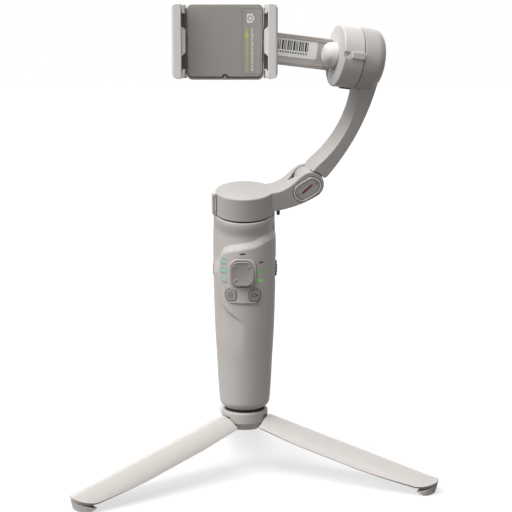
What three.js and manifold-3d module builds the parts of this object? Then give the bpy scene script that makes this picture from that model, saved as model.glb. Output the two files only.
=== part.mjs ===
// A three-axis phone gimbal standing on its folding table tripod.
// Millimetres, +Z up. The user holds the handle from the -Y side, where the controls are.
// Sub-parts are modelled in their own frames (handle, pan motor, tilt motor, clamp) and placed by groups.
import * as THREE from "three";
import { mergeVertices } from "three/addons/utils/BufferGeometryUtils.js";
import Module from "manifold-3d";

const wasm = await Module();
wasm.setup();

const rad = THREE.MathUtils.degToRad;

// ---------------------------------------------------------------- driving dimensions

const GAP = 0.3; // clearance between neighbouring pieces
const FAR = 60; // reach of the blocks that trim a piece
const SIDES = 28; // facets on the big round parts
const FEW_SIDES = 12; // facets on pins, screws and bearings

const hub = {
  base: 31,
  baseRadius: 12.3,
  capTop: 35.7,
  capRadius: 15.1,
  bottom: 36,
  top: 44,
  radius: 16.1,
  padRadius: 13.7,
  padTop: 44.6,
  boreRadius: 3.6,
};
const leg = {
  azimuths: { left: -52, right: 68, rear: 184 }, // degrees from -Y, positive to the user's right
  pivotRadius: 11,
  pivotHeight: 36.5,
  slope: 14.6, // degrees below level when spread
  root: 5.6, // the shell starts this far from the pivot
  rootHalf: 13.2,
  tipHalf: 12.4,
  length: 132,
  crown: 6, // the shell's ridge above the pivot
  outerRadius: 17,
  wall: 2.6,
  halfAngle: 57.2,
  knuckleRadius: 3.3,
  knuckleWidth: 7,
  pinRadius: 1.4,
  pinHalf: 6.4,
};
const screw = { headRadius: 5.4, headBottom: 34.5, headTop: 37.2, threadRadius: 3.15, top: 52 };

const grip = {
  bottom: 44.9,
  wall: 2,
  cornerRadius: 9.5, // the flat underside
  cornerTop: 51,
  rim: 182.1, // where the pan axis crosses the tilted top
  // [radius, height] up the outside, above the rounded bottom corner
  side: [[17.5, 51], [18.4, 63.5], [19.1, 78.5], [20.4, 101.5], [21.1, 125], [21.65, 155.5], [21, 190]],
};
const controls = { azimuth: -2.9, height: 144.1 };
const joystick = {
  width: 15.2,
  height: 16.4,
  corner: 5,
  bottom: 23.5, // distances from the handle's axis
  top: 25.5,
  pivot: 17,
  stemRadius: 1.8,
  yokeHalf: 5.2,
};
const keys = { drop: -15.5, spread: 21.5, size: 7.8, corner: 2.6, face: 22.2 }; // the two push buttons
const surround = { width: 18.8, height: 19.6, corner: 6.5, hole: 5.6 };
const bezel = { width: 24.6, height: 10.4 };
const plateFront = 21.9; // how far from the axis the surround and the bezel come
const plateBack = 19.4;
const lights = { left: -37.6, right: 35.1, pitch: 6.2, width: 3.2, height: 1.6, front: 21.4 };
const slider = { azimuth: 90, height: 143.9, slot: 17.6, length: 11, width: 6, proud: 22.8 };
const powerKey = { azimuth: -90, height: 143.5, length: 9, width: 4, face: 22 };
const usb = { azimuth: -101, height: 155, length: 9, width: 3.4 };
const battery = { radius: 9.2, low: 54.5, high: 119.5, setBack: 4 };
const openingDepth = 14; // openings in the shell start this far from the axis

const pan = { tilt: 12, yaw: 12.5 }; // degrees: the pan axis leans to the user, the arm points right and back
const panHousing = { radius: 19.9, bottom: 0.6, top: 16.5, roof: 13.5 };
const arm = {
  width: 21,
  hingeX: 44,
  hingeZ: 20,
  cheekRadius: 9.4,
  forkWidth: 13,
  knuckleRadius: 8.9,
  pinRadius: 2.8,
  pinHalf: 8.5,
};
const stowTab = { inner: 21.2, outer: 22.4, half: 2.6, low: 0.8, high: 15.4, bridge: 13.4 };
const stopPeg = { x: 23.8, radius: 1.2, low: -3.2, high: 3.6 };
const beam = {
  rootRadius: 10.2,
  innerX: 3.3, // centre of the arc along its inner side, in the pan frame
  innerZ: 91.3,
  innerRadius: 73.2,
  outerX: -59.8, // centre of the arc along its outer side
  outerZ: 127.1,
  outerRadius: 153.8,
};
const badge = { x: 41.5, z: 17.5, angle: 30, length: 20.7, height: 13.6, trim: 1.4, depth: 1.6, proud: 0.6 };
const tilt = { x: 62, z: 106.5, rise: 9.8, radius: 20.5, seam: -13.8, end: -30.4, corner: 7, level: 11.8 };
const bar = { halfHeight: 10.5, front: 10, back: 17, length: 75.6, boss: 8.2, bossLength: 5.4 };

const clamp = {
  center: [-12, -37, 298.5],
  padWidth: 48.2,
  padHeight: 45.4,
  padThickness: 2.5,
  baseWidth: 48.6,
  baseHeight: 48.2,
  baseFront: 2.8,
  baseBack: 7.8,
  corner: 3.5,
};
const roll = { radius: 16, bore: 13.8, front: 8.4, floor: 16, back: 24 };
const jaw = {
  inner: 27.6,
  outer: 33.8,
  front: -9.5,
  lip: 2.8,
  back: 7.4,
  halfHeight: 23.6,
  corner: 4,
  padInner: 25.2,
  padHalf: 9.3,
};
const rack = { pitchRadius: 4, teeth: 10, front: 4.4, back: 6.4, end: -21, top: 9 };

// ---------------------------------------------------------------- materials

const finishes = {
  shell: { color: 0xbdb7b1, roughness: 0.5, metalness: 0 },
  shade: { color: 0x6f6a66, roughness: 0.6, metalness: 0 },
  rubber: { color: 0x4a4846, roughness: 0.9, metalness: 0 },
  black: { color: 0x1c1c1d, roughness: 0.7, metalness: 0 },
  pad: { color: 0x87837e, roughness: 0.85, metalness: 0 },
  jawPad: { color: 0xd6d2cd, roughness: 0.7, metalness: 0 },
  chrome: { color: 0xd0cbc6, roughness: 0.15, metalness: 1 },
  steel: { color: 0x9a9da1, roughness: 0.35, metalness: 1 },
  copper: { color: 0xb87333, roughness: 0.4, metalness: 1 },
  brass: { color: 0xb5a05a, roughness: 0.35, metalness: 1 },
  board: { color: 0x1f5a37, roughness: 0.6, metalness: 0 },
  cell: { color: 0x3a6ea5, roughness: 0.5, metalness: 0 },
  teal: { color: 0x7fe0c0, roughness: 0.3, metalness: 0 },
  green: { color: 0x52d053, roughness: 0.3, metalness: 0 },
};

function piece(name, geometry, finish) {
  const mesh = new THREE.Mesh(geometry, new THREE.MeshStandardMaterial(finishes[finish]));
  mesh.name = name;
  return mesh;
}

function groupOf(...children) {
  const group = new THREE.Group();
  group.add(...children);
  return group;
}

// ---------------------------------------------------------------- solids

function solid(geometry) {
  const bare = geometry.index ? geometry.toNonIndexed() : geometry.clone();
  bare.deleteAttribute("normal");
  bare.deleteAttribute("uv");
  const merged = mergeVertices(bare, 1e-3);
  const vertProperties = merged.attributes.position.array;
  const triVerts = new Uint32Array(merged.index.array);
  return new wasm.Manifold(new wasm.Mesh({ numProp: 3, vertProperties, triVerts }));
}

function geometryOf(manifold) {
  const { vertProperties, triVerts } = manifold.getMesh();
  const geometry = new THREE.BufferGeometry();
  geometry.setAttribute("position", new THREE.BufferAttribute(vertProperties, 3));
  geometry.setIndex(new THREE.BufferAttribute(triVerts, 1));
  geometry.computeVertexNormals();
  return geometry;
}

const join = (first, ...rest) => geometryOf(rest.reduce((sum, g) => sum.add(solid(g)), solid(first)));
const cut = (first, ...rest) => geometryOf(rest.reduce((left, g) => left.subtract(solid(g)), solid(first)));
const common = (first, second) => geometryOf(solid(first).intersect(solid(second)));

const vectors = (pairs) => pairs.map(([x, y]) => new THREE.Vector2(x, y));

// A closed [radius, height] profile turned about Z.
function lathe(profile, sides = SIDES) {
  return new THREE.LatheGeometry(vectors(profile), sides).rotateX(Math.PI / 2);
}

function ring(inner, outer, low, high, sides = SIDES) {
  return lathe([[inner, low], [outer, low], [outer, high], [inner, high], [inner, low]], sides);
}

function disc(radius, low, high, sides = SIDES) {
  return lathe([[0, low], [radius, low], [radius, high], [0, high]], sides);
}

const aboutY = (geometry) => geometry.rotateX(-Math.PI / 2); // Z becomes Y

function block(x0, x1, y0, y1, z0, z1) {
  const box = new THREE.BoxGeometry(x1 - x0, y1 - y0, z1 - z0);
  return box.translate((x0 + x1) / 2, (y0 + y1) / 2, (z0 + z1) / 2);
}

// A shape in the XY plane, as thick as low to high along Z.
function plate(shape, low, high, curveSegments = 3) {
  const options = { depth: high - low, bevelEnabled: false, curveSegments };
  return new THREE.ExtrudeGeometry(shape, options).translate(0, 0, low);
}

// A shape drawn as (x, z), as thick as near to far along Y.
function slab(shape, near, far, curveSegments = 3) {
  return plate(shape, -far, -near, curveSegments).rotateX(Math.PI / 2);
}

function roundedRect(width, height, radius) {
  const [x, y, r] = [width / 2, height / 2, radius];
  const shape = new THREE.Shape();
  shape.moveTo(r - x, -y);
  shape.absarc(x - r, r - y, r, -Math.PI / 2, 0);
  shape.absarc(x - r, y - r, r, 0, Math.PI / 2);
  shape.absarc(r - x, y - r, r, Math.PI / 2, Math.PI);
  shape.absarc(r - x, r - y, r, Math.PI, Math.PI * 1.5);
  return shape;
}

function circlePoint(x, z, radius, degrees) {
  return [x + radius * Math.cos(rad(degrees)), z + radius * Math.sin(rad(degrees))];
}

const stadium = (length, height) => roundedRect(length, height, height / 2 - 1e-3);

// ---------------------------------------------------------------- frames

const moveBy = (x, y, z) => new THREE.Matrix4().makeTranslation(x, y, z);
const turnX = (degrees) => new THREE.Matrix4().makeRotationX(rad(degrees));
const turnY = (degrees) => new THREE.Matrix4().makeRotationY(rad(degrees));
const turnZ = (degrees) => new THREE.Matrix4().makeRotationZ(rad(degrees));
const chain = (...matrices) => matrices.reduce((product, m) => product.multiply(m), new THREE.Matrix4());

// Pan frame: Z up the pan axis from the handle's rim, X along the arm, Y away from the user.
const panFrame = chain(moveBy(0, 0, grip.rim), turnX(pan.tilt), turnZ(pan.yaw));
// Tilt frame, inside the pan frame: Z out of the motor's disc towards the clamp, X up, Y away.
const tiltFrame = chain(moveBy(tilt.x, 0, tilt.z), turnY(tilt.rise - 90));
// Head frame, inside the tilt frame: the same, turned until Y is level.
const headFrame = turnZ(tilt.level);
const clampFrame = moveBy(...clamp.center);
const headInClamp = chain(clampFrame.clone().invert(), panFrame, tiltFrame, headFrame);

// A frame on the handle's skin: Z outwards, X to the right and Y up, as the user sees it.
const skinFrame = (azimuth, height) => chain(turnZ(azimuth), moveBy(0, 0, height), turnX(90));

function placed(frame, ...children) {
  const group = groupOf(...children);
  group.applyMatrix4(frame);
  return group;
}

// ---------------------------------------------------------------- tripod

const legTurn = (azimuth) => turnZ(azimuth - 90); // the leg's X axis points outwards

function legSlot() {
  const half = leg.knuckleWidth / 2 + GAP;
  const inner = leg.pivotRadius - leg.knuckleRadius - 2 * GAP;
  const top = leg.pivotHeight + leg.knuckleRadius + 2 * GAP;
  return block(inner, FAR, -half, half, 0, top);
}

function pinHole() {
  const hole = aboutY(disc(leg.pinRadius + GAP / 2, -leg.pinHalf - GAP, leg.pinHalf + GAP, FEW_SIDES));
  return hole.translate(leg.pivotRadius, 0, leg.pivotHeight);
}

// What each leg takes out of the hub and its cap: a slot for the knuckle and a hole for the pin.
function legTools() {
  const turns = Object.values(leg.azimuths).map(legTurn);
  return turns.flatMap((turn) => [legSlot().applyMatrix4(turn), pinHole().applyMatrix4(turn)]);
}

function tripodHub() {
  const pocket = screw.headRadius + GAP;
  const body = lathe([
    [pocket, hub.bottom],
    [hub.radius - 0.4, hub.bottom],
    [hub.radius, hub.bottom + 0.5],
    [hub.radius, hub.top - 1.6],
    [hub.radius - 0.4, hub.top - 0.5],
    [hub.radius - 1.2, hub.top],
    [hub.padRadius + GAP, hub.top],
    [hub.padRadius + GAP, hub.top - 0.9],
    [hub.boreRadius, hub.top - 0.9],
    [hub.boreRadius, screw.headTop + GAP],
    [pocket, screw.headTop + GAP],
    [pocket, hub.bottom],
  ]);
  return piece("tripod_hub", cut(body, ...legTools()), "shell");
}

function hubBaseCap() {
  const [pocket, floor] = [screw.headRadius + GAP, screw.headBottom - GAP];
  const body = lathe([
    [0, hub.base],
    [hub.baseRadius, hub.base],
    [hub.capRadius, hub.capTop],
    [pocket, hub.capTop],
    [pocket, floor],
    [0, floor],
  ]);
  return piece("hub_base_cap", cut(body, ...legTools()), "shade");
}

function tripodScrew() {
  const body = lathe(
    [
      [0, screw.headBottom],
      [screw.headRadius, screw.headBottom],
      [screw.headRadius, screw.headTop],
      [screw.threadRadius, screw.headTop],
      [screw.threadRadius, screw.top - 0.8],
      [screw.threadRadius - 0.8, screw.top],
      [0, screw.top],
    ],
    FEW_SIDES,
  );
  return piece("tripod_screw", body, "steel");
}

// Leg frame: X out along the leg, Z up through its ridge, with the pivot pin at the origin.
const legArcZ = leg.crown - leg.outerRadius;
// Turns a section drawn across the leg (x sideways, y up) so that its thickness runs along the leg.
const alongLeg = new THREE.Matrix4().makeBasis(
  new THREE.Vector3(0, 1, 0),
  new THREE.Vector3(0, 0, 1),
  new THREE.Vector3(1, 0, 0),
);

// The leg seen from above: nearly parallel sides and a rounded tip.
function legPlan() {
  const plan = new THREE.Shape();
  plan.moveTo(leg.root, -leg.rootHalf);
  plan.bezierCurveTo(45, -15.2, 85, -15, leg.length - 12, -leg.tipHalf);
  plan.bezierCurveTo(leg.length - 4, -11.2, leg.length, -6.5, leg.length, 0);
  plan.bezierCurveTo(leg.length, 6.5, leg.length - 4, 11.2, leg.length - 12, leg.tipHalf);
  plan.bezierCurveTo(85, 15, 45, 15.2, leg.root, leg.rootHalf);
  return plan;
}

function legShell() {
  const half = rad(leg.halfAngle);
  const inner = leg.outerRadius - leg.wall;
  const section = new THREE.Shape();
  section.absarc(0, legArcZ, leg.outerRadius, Math.PI / 2 - half, Math.PI / 2 + half, false);
  section.absarc(0, legArcZ, inner, Math.PI / 2 + half, Math.PI / 2 - half, true);
  const trough = plate(section, leg.root, leg.length + 2, 10).applyMatrix4(alongLeg);
  return common(trough, plate(legPlan(), -FAR, FAR, 7));
}

function legSolid() {
  const half = leg.knuckleWidth / 2;
  const r = leg.knuckleRadius;
  const web = new THREE.Shape(vectors([[0, -r], [9, -2.6], [16, 1.2], [16, 2.6], [leg.root, r], [0, r]]));
  const knuckle = aboutY(disc(r, -half, half, FEW_SIDES));
  const bore = aboutY(disc(leg.pinRadius + GAP / 2, -FAR, FAR, FEW_SIDES));
  return cut(join(legShell(), slab(web, -half, half), knuckle), bore);
}

// The rubber foot fills the shell's tip from below, ends flush with it and is cut level with the ground. Seen
// along the leg it is a third of a disc, so that the three feet fold together.
function footPad() {
  const [sin, cos] = [Math.sin(rad(leg.slope)), Math.cos(rad(leg.slope))];
  const groundAt = (x) => (x * sin - leg.pivotHeight) / cos;
  const [near, far] = [leg.length - 10, leg.length + 1];
  const side = new THREE.Shape(vectors([[near, groundAt(near)], [far, groundAt(far)], [far, 4], [near, 4]]));
  const half = rad(leg.halfAngle);
  const sector = new THREE.Shape();
  sector.absarc(0, legArcZ, leg.outerRadius - leg.wall - GAP, Math.PI / 2 - half, Math.PI / 2 + half, false);
  sector.lineTo(0, legArcZ);
  const core = plate(sector, near, far, 10).applyMatrix4(alongLeg);
  return common(common(slab(side, -FAR, FAR), core), plate(legPlan(), -FAR, FAR, 7));
}

function tripodLeg(side, azimuth) {
  const spread = chain(moveBy(leg.pivotRadius, 0, leg.pivotHeight), turnY(leg.slope));
  const pin = aboutY(disc(leg.pinRadius, -leg.pinHalf, leg.pinHalf, FEW_SIDES));
  pin.translate(leg.pivotRadius, 0, leg.pivotHeight);
  return placed(
    legTurn(azimuth),
    piece(`leg_pin_${side}`, pin, "steel"),
    placed(spread, piece(`leg_${side}`, legSolid(), "shell"), piece(`foot_${side}`, footPad(), "rubber")),
  );
}

function tripod() {
  const pad = ring(hub.boreRadius + GAP, hub.padRadius, hub.top - 0.6, hub.padTop);
  const legs = Object.entries(leg.azimuths).map(([side, azimuth]) => tripodLeg(side, azimuth));
  return groupOf(tripodHub(), piece("hub_top_pad", pad, "rubber"), hubBaseCap(), tripodScrew(), ...legs);
}

// ---------------------------------------------------------------- handle shells

// The handle as a turned solid, inset from its skin, running on above the rim.
function gripSolid(inset) {
  const bottom = grip.bottom + inset;
  const corner = [];
  for (let i = 0; i < 5; i += 1) {
    const angle = (i / 5) * (Math.PI / 2);
    const run = grip.side[0][0] - grip.cornerRadius;
    corner.push([
      grip.cornerRadius + run * Math.sin(angle) - inset,
      grip.cornerTop - (grip.cornerTop - bottom) * Math.cos(angle),
    ]);
  }
  const side = new THREE.SplineCurve(vectors(grip.side)).getPoints(inset ? 3 : 7);
  const wall = side.map((p) => [p.x - inset, p.y]);
  return lathe([[0, bottom], ...corner, ...wall, [0, wall.at(-1)[1]]]);
}

const aboveRim = () => block(-FAR, FAR, -FAR, FAR, 0, FAR).applyMatrix4(panFrame);

function skinPrism(shape, azimuth, height, near, far) {
  return plate(shape, near, far, 3).applyMatrix4(skinFrame(azimuth, height));
}

const grown = (width, height, radius) => roundedRect(width + 2 * GAP, height + 2 * GAP, radius + GAP);

function frontOpenings() {
  const { azimuth, height } = controls;
  const through = (shape, a, h) => skinPrism(shape, a, h, openingDepth, FAR);
  const openings = [
    through(grown(surround.width, surround.height, surround.corner), azimuth, height),
    through(grown(bezel.width, bezel.height, bezel.height / 2 - 0.1), azimuth, height + keys.drop),
    through(roundedRect(3, 1, 0.4), azimuth, height + 12.8), // microphone
  ];
  const slot = roundedRect(lights.width + 2 * GAP, lights.height + 2 * GAP, 0.5);
  for (const side of [lights.left, lights.right]) {
    for (let i = -1; i <= 1; i += 1) {
      openings.push(through(slot, azimuth + side, height + 0.5 + i * lights.pitch));
    }
  }
  return openings;
}

function sideOpenings() {
  const through = (shape, { azimuth, height }) => skinPrism(shape, azimuth, height, openingDepth, FAR);
  return [
    through(roundedRect(slider.width + 1, slider.slot, 1.5), slider),
    through(grown(powerKey.width, powerKey.length, 1.9), powerKey),
    through(grown(usb.width, usb.length, 1.6), usb),
  ];
}

function handleShells() {
  const insertHole = disc(6.8, 0, grip.cornerTop, FEW_SIDES);
  const shell = cut(gripSolid(0), gripSolid(grip.wall), aboveRim(), insertHole, ...sideOpenings());
  const behind = block(-FAR, FAR, -GAP / 2, FAR, 0, 4 * FAR);
  const ahead = block(-FAR, FAR, -FAR, GAP / 2, 0, 4 * FAR);
  return [
    piece("handle_front_shell", cut(shell, behind, ...frontOpenings()), "shell"),
    piece("handle_rear_shell", cut(shell, ahead), "shell"),
  ];
}

// ---------------------------------------------------------------- what the handle holds

function joystickHousing() {
  const cup = cut(block(-7.5, 7.5, -7.5, 7.5, 14.1, 18.8), block(-6.1, 6.1, -6.1, 6.1, 15, FAR));
  const bearings = disc(1.1, -6.9, 6.9, FEW_SIDES).rotateY(Math.PI / 2).translate(0, 0, joystick.pivot);
  return cut(cup, bearings);
}

// The yoke rocks up and down on its two side pins; the stick rocks left and right inside the yoke.
function joystickYoke() {
  const half = joystick.yokeHalf;
  const frame = cut(block(-half, half, -half, half, 16, 18), block(-3.3, 3.3, -3.3, 3.3, 0, FAR));
  const pins = cut(
    disc(0.8, -6.7, 6.7, FEW_SIDES).rotateY(Math.PI / 2).translate(0, 0, joystick.pivot),
    block(-3.3, 3.3, -3.3, 3.3, 0, FAR),
  );
  const bores = aboutY(disc(0.8, -4.7, 4.7, 12)).translate(0, 0, joystick.pivot);
  return cut(join(frame, pins), bores);
}

function joystickStick() {
  const { width, height, corner, bottom, top, pivot } = joystick;
  const cap = plate(roundedRect(width, height, corner), bottom, top, 4);
  const dish = new THREE.SphereGeometry(38, 36, 48).translate(0, 0, top + 37.1);
  const stem = disc(joystick.stemRadius, 15.6, bottom + 0.5, FEW_SIDES);
  const pins = aboutY(disc(0.6, -4.5, 4.5, 12)).translate(0, 0, pivot);
  return cut(join(cap, stem, pins), dish);
}

function buttonBezel() {
  const { azimuth, height } = controls;
  const outline = roundedRect(bezel.width, bezel.height, bezel.height / 2 - 0.1);
  const tube = ring(plateBack, plateFront, height - 30, height);
  const hole = grown(keys.size, keys.size, keys.corner);
  const through = (shape, turn) => skinPrism(shape, azimuth + turn, height + keys.drop, 10, FAR);
  return cut(common(through(outline, 0), tube), through(hole, -keys.spread), through(hole, keys.spread));
}

function pushKey() {
  const outline = roundedRect(keys.size, keys.size, keys.corner);
  return plate(outline, 18.2, keys.face, 5);
}

// One moulded strip behind the skin with a raised window for each light.
function lightPipe() {
  const strip = block(-1.8, 1.8, -9.5, 9.5, 17, 18.4);
  const window = roundedRect(lights.width, lights.height, 0.3);
  const windowAt = (y) => plate(window, 17.5, lights.front, 3).translate(0, y, 0);
  const windows = [-1, 0, 1].map((i) => windowAt(i * lights.pitch));
  return join(strip, ...windows);
}

function zoomSlider() {
  const { width, length, proud } = slider;
  const knob = plate(roundedRect(width, length, 1.2), 17.7, proud - 0.8, 4);
  const shoe = block(-4, 4, -10.2, 10.2, 17.2, 18.4);
  const ribs = [-2, -1, 0, 1, 2].map((i) => {
    const rise = proud - 0.25 * Math.abs(i);
    return block(-width / 2 + 0.4, width / 2 - 0.4, i * 2 - 0.6, i * 2 + 0.6, 20, rise);
  });
  return join(knob, shoe, ...ribs);
}

function usbSocket() {
  const body = plate(roundedRect(usb.width, usb.length, 1.6), 14.5, 20.9, 5);
  const mouth = plate(roundedRect(usb.width - 1, usb.length - 1, 1.1), 15.5, FAR, 5);
  const tongue = block(-0.35, 0.35, -3.2, 3.2, 15.2, 20);
  return join(cut(body, mouth), tongue);
}

function handle() {
  const { azimuth, height } = controls;
  const face = skinFrame(azimuth, height);
  const keyFrame = (turn) => skinFrame(azimuth + turn, height + keys.drop);
  const surroundPlate = cut(
    plate(roundedRect(surround.width, surround.height, surround.corner), plateBack, plateFront, 4),
    disc(surround.hole, 0, FAR, FEW_SIDES),
  );
  const cell = disc(battery.radius, battery.low, battery.high, 32).translate(0, battery.setBack, 0);
  const powerCap = plate(roundedRect(powerKey.width, powerKey.length, 1.9), 17.5, powerKey.face, 5);
  const pipeHeight = height + 0.5;
  return groupOf(
    ...handleShells(),
    piece("tripod_insert", ring(3.6, 6.5, grip.bottom + 0.4, 54, FEW_SIDES), "brass"),
    piece("battery_cell", cell, "cell"),
    placed(
      face,
      piece("main_board", block(-9.5, 9.5, -29, 19, 12.2, 13.8), "board"),
      piece("joystick_housing", joystickHousing(), "black"),
      piece("joystick_yoke", joystickYoke(), "shade"),
      piece("joystick_stick", joystickStick(), "shade"),
      piece("joystick_surround", surroundPlate, "shell"),
    ),
    piece("button_bezel", buttonBezel(), "shell"),
    placed(keyFrame(-keys.spread), piece("mode_button", pushKey(), "shell")),
    placed(keyFrame(keys.spread), piece("record_button", pushKey(), "shell")),
    placed(skinFrame(azimuth + lights.left, pipeHeight), piece("status_light_pipe", lightPipe(), "teal")),
    placed(skinFrame(azimuth + lights.right, pipeHeight), piece("battery_light_pipe", lightPipe(), "green")),
    placed(skinFrame(slider.azimuth, slider.height), piece("zoom_slider", zoomSlider(), "black")),
    placed(skinFrame(powerKey.azimuth, powerKey.height), piece("power_button", powerCap, "shell")),
    placed(skinFrame(usb.azimuth, usb.height), piece("usb_socket", usbSocket(), "black")),
  );
}

// ---------------------------------------------------------------- motors

// Radii inside the pan and tilt motors, from the shaft out to the housing's bore.
const motor = {
  shaft: 3,
  bearing: 5,
  tube: 6.1,
  stator: 15.1,
  magnetInner: 15.6,
  magnetOuter: 17.1,
  bore: 17.4,
};
const deck = { radius: 18.2, low: -3.2, high: -0.6 };

// The wound stator: a hub with evenly spaced teeth that widen at the air gap.
function stator(bore, radius, low, high) {
  const teeth = 6;
  const step = (2 * Math.PI) / teeth;
  const neck = bore + 2;
  const shape = new THREE.Shape();
  const at = (r, angle) => [r * Math.cos(angle), r * Math.sin(angle)];
  for (let i = 0; i < teeth; i += 1) {
    const a = i * step;
    const outline = [
      at(neck, a - 0.25 * step),
      at(radius - 1.5, a - 0.14 * step),
      at(radius - 1, a - 0.42 * step),
      at(radius, a - 0.4 * step),
      at(radius, a),
      at(radius, a + 0.4 * step),
      at(radius - 1, a + 0.42 * step),
      at(radius - 1.5, a + 0.14 * step),
      at(neck, a + 0.25 * step),
    ];
    outline.forEach(([x, y], k) => (i + k ? shape.lineTo(x, y) : shape.moveTo(x, y)));
  }
  return cut(plate(shape, low, high), disc(bore, low - 1, high + 1, FEW_SIDES));
}

// The parts inside a motor whose rotor's roof has its underside at the given height.
function motorCore(name, roof, shaftLength) {
  const magnets = ring(motor.magnetInner, motor.magnetOuter, roof - 9.8, roof - GAP);
  const bearing = ring(motor.shaft + 0.15, motor.bearing, roof - 6, roof - 2, FEW_SIDES);
  return [
    piece(`${name}_magnet_ring`, magnets, "steel"),
    piece(`${name}_stator`, stator(motor.tube + GAP, motor.stator, roof - 9.5, roof - 1.5), "copper"),
    piece(`${name}_bearing`, bearing, "steel"),
    piece(`${name}_shaft`, disc(motor.shaft, roof - shaftLength, roof - GAP, FEW_SIDES), "steel"),
  ];
}

function motorDeck() {
  const tubeBore = motor.bearing + GAP;
  const top = panHousing.roof - 1.8;
  const profile = [
    [tubeBore, deck.low],
    [deck.radius, deck.low],
    [deck.radius, deck.high],
    [motor.tube, deck.high],
    [motor.tube, top],
    [tubeBore, top],
    [tubeBore, deck.low],
  ];
  return piece("motor_deck", lathe(profile), "shade");
}

// ---------------------------------------------------------------- lower arm

function hingeBore(radius, half) {
  return aboutY(disc(radius, -half, half, 24)).translate(arm.hingeX, 0, arm.hingeZ);
}

function lowerArmOutline() {
  const { hingeX, hingeZ, cheekRadius } = arm;
  const shape = new THREE.Shape();
  shape.moveTo(8, 3);
  shape.lineTo(18, 3);
  const [cheekLow, cheekHigh] = [-70, 125]; // where the round cheek leaves the arm's lower and upper edges
  shape.bezierCurveTo(30, 4, 40, 7.2, ...circlePoint(hingeX, hingeZ, cheekRadius, cheekLow));
  shape.absarc(hingeX, hingeZ, cheekRadius, rad(cheekLow), rad(cheekHigh));
  shape.bezierCurveTo(33, 24, 28, 17, 18, panHousing.top);
  shape.lineTo(8, panHousing.top);
  return shape;
}

const badgeTurn = () => chain(moveBy(badge.x, 0, badge.z), turnY(-badge.angle));

function lowerArm() {
  const { radius, bottom, top, roof } = panHousing;
  const cup = lathe([[0, 3], [radius, bottom], [radius, top - 0.9], [radius - 0.9, top], [0, top]]);
  const body = join(cup, slab(lowerArmOutline(), -arm.width / 2, arm.width / 2));
  const pocketOutline = stadium(badge.length + 2 * GAP, badge.height + 2 * GAP);
  const pocket = slab(pocketOutline, -FAR, badge.depth - arm.width / 2);
  const geometry = cut(
    body,
    disc(motor.bore, -FAR, roof),
    hingeBore(arm.knuckleRadius + 1, arm.forkWidth / 2),
    hingeBore(arm.pinRadius + 0.2, arm.pinHalf + GAP),
    pocket.applyMatrix4(badgeTurn()),
  );
  return piece("lower_arm", geometry, "shell");
}

function hingeBadge() {
  const back = badge.depth - GAP - arm.width / 2;
  const front = -arm.width / 2 - badge.proud;
  const { length, height, trim } = badge;
  const trimRing = cut(
    slab(stadium(length, height), front, back),
    slab(stadium(length - 2 * trim, height - 2 * trim), -FAR, FAR),
  );
  const face = slab(stadium(length - 2 * trim - 2 * GAP, height - 2 * trim - 2 * GAP), front + 0.3, back);
  return placed(
    badgeTurn(),
    piece("badge_trim_ring", trimRing, "chrome"),
    piece("hinge_badge", face, "shell"),
  );
}

// A hooked tab that hangs from the motor housing's edge, opposite the arm.
function stowCatch() {
  const { inner, outer, half, low, high, bridge } = stowTab;
  const tab = block(-outer, -inner, -half, half, low, high);
  return join(tab, block(-inner - 0.2, -panHousing.radius - 0.35, -half, half, bridge, high));
}

function panHead() {
  const { x, radius, low, high } = stopPeg;
  const peg = disc(radius, low, high, 16).translate(x, 0, 0);
  const pegHole = disc(radius + GAP, -FAR, high + 0.4, 16).translate(x, 0, 0);
  const armMesh = lowerArm();
  armMesh.geometry = cut(armMesh.geometry, pegHole);
  return [
    armMesh,
    piece("stow_catch", stowCatch(), "shell"),
    piece("pan_stop_peg", peg, "black"),
    piece("fold_hinge_pin", hingeBore(arm.pinRadius, arm.pinHalf), "steel"),
    hingeBadge(),
  ];
}

// ---------------------------------------------------------------- upper arm

// The curved beam between two arcs, from the fold hinge up into the tilt motor.
function beamOutline() {
  const { innerX, innerZ, innerRadius, outerX, outerZ, outerRadius } = beam;
  const [outerLow, outerHigh, innerHigh, innerLow] = [-41.5, -13, -7, -51];
  const shape = new THREE.Shape();
  shape.moveTo(arm.hingeX, arm.hingeZ + 2);
  shape.lineTo(arm.hingeX + 9.4, arm.hingeZ + 4.4);
  shape.lineTo(...circlePoint(outerX, outerZ, outerRadius, outerLow));
  shape.absarc(outerX, outerZ, outerRadius, rad(outerLow), rad(outerHigh), false);
  shape.lineTo(82, 100);
  shape.lineTo(...circlePoint(innerX, innerZ, innerRadius, innerHigh));
  shape.absarc(innerX, innerZ, innerRadius, rad(innerHigh), rad(innerLow), true);
  shape.lineTo(arm.hingeX - 1, arm.hingeZ + 8);
  return shape;
}

function upperArm() {
  const beamHalf = arm.width / 2;
  const knuckleHalf = arm.forkWidth / 2 - GAP;
  const wide = cut(slab(beamOutline(), -beamHalf, beamHalf, 12), hingeBore(beam.rootRadius, FAR));
  const narrow = slab(beamOutline(), -knuckleHalf, knuckleHalf, 12);
  const { radius, seam, end, corner } = tilt;
  const arc = [0, 30, 60, 90].map((a) => [
    radius - corner + corner * Math.cos(rad(a)),
    end + corner - corner * Math.sin(rad(a)),
  ]);
  const drum = lathe([[0, end], ...arc.reverse(), [radius, seam - GAP], [0, seam - GAP]]);
  const floor = end + 4; // the motor's cavity starts here
  const cavity = ring(motor.tube, motor.bore, floor, seam + 1);
  const tube = ring(motor.bearing + GAP, motor.tube, floor, -4.8);
  const well = disc(motor.bearing + GAP, floor, 0, SIDES);
  const knuckle = hingeBore(arm.knuckleRadius, knuckleHalf);
  const body = cut(
    join(wide, narrow, knuckle, drum.applyMatrix4(tiltFrame)),
    cavity.applyMatrix4(tiltFrame),
    well.applyMatrix4(tiltFrame),
    hingeBore(arm.pinRadius + 0.2, FAR),
  );
  return piece("upper_arm", join(body, tube.applyMatrix4(tiltFrame)), "shell");
}

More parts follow.
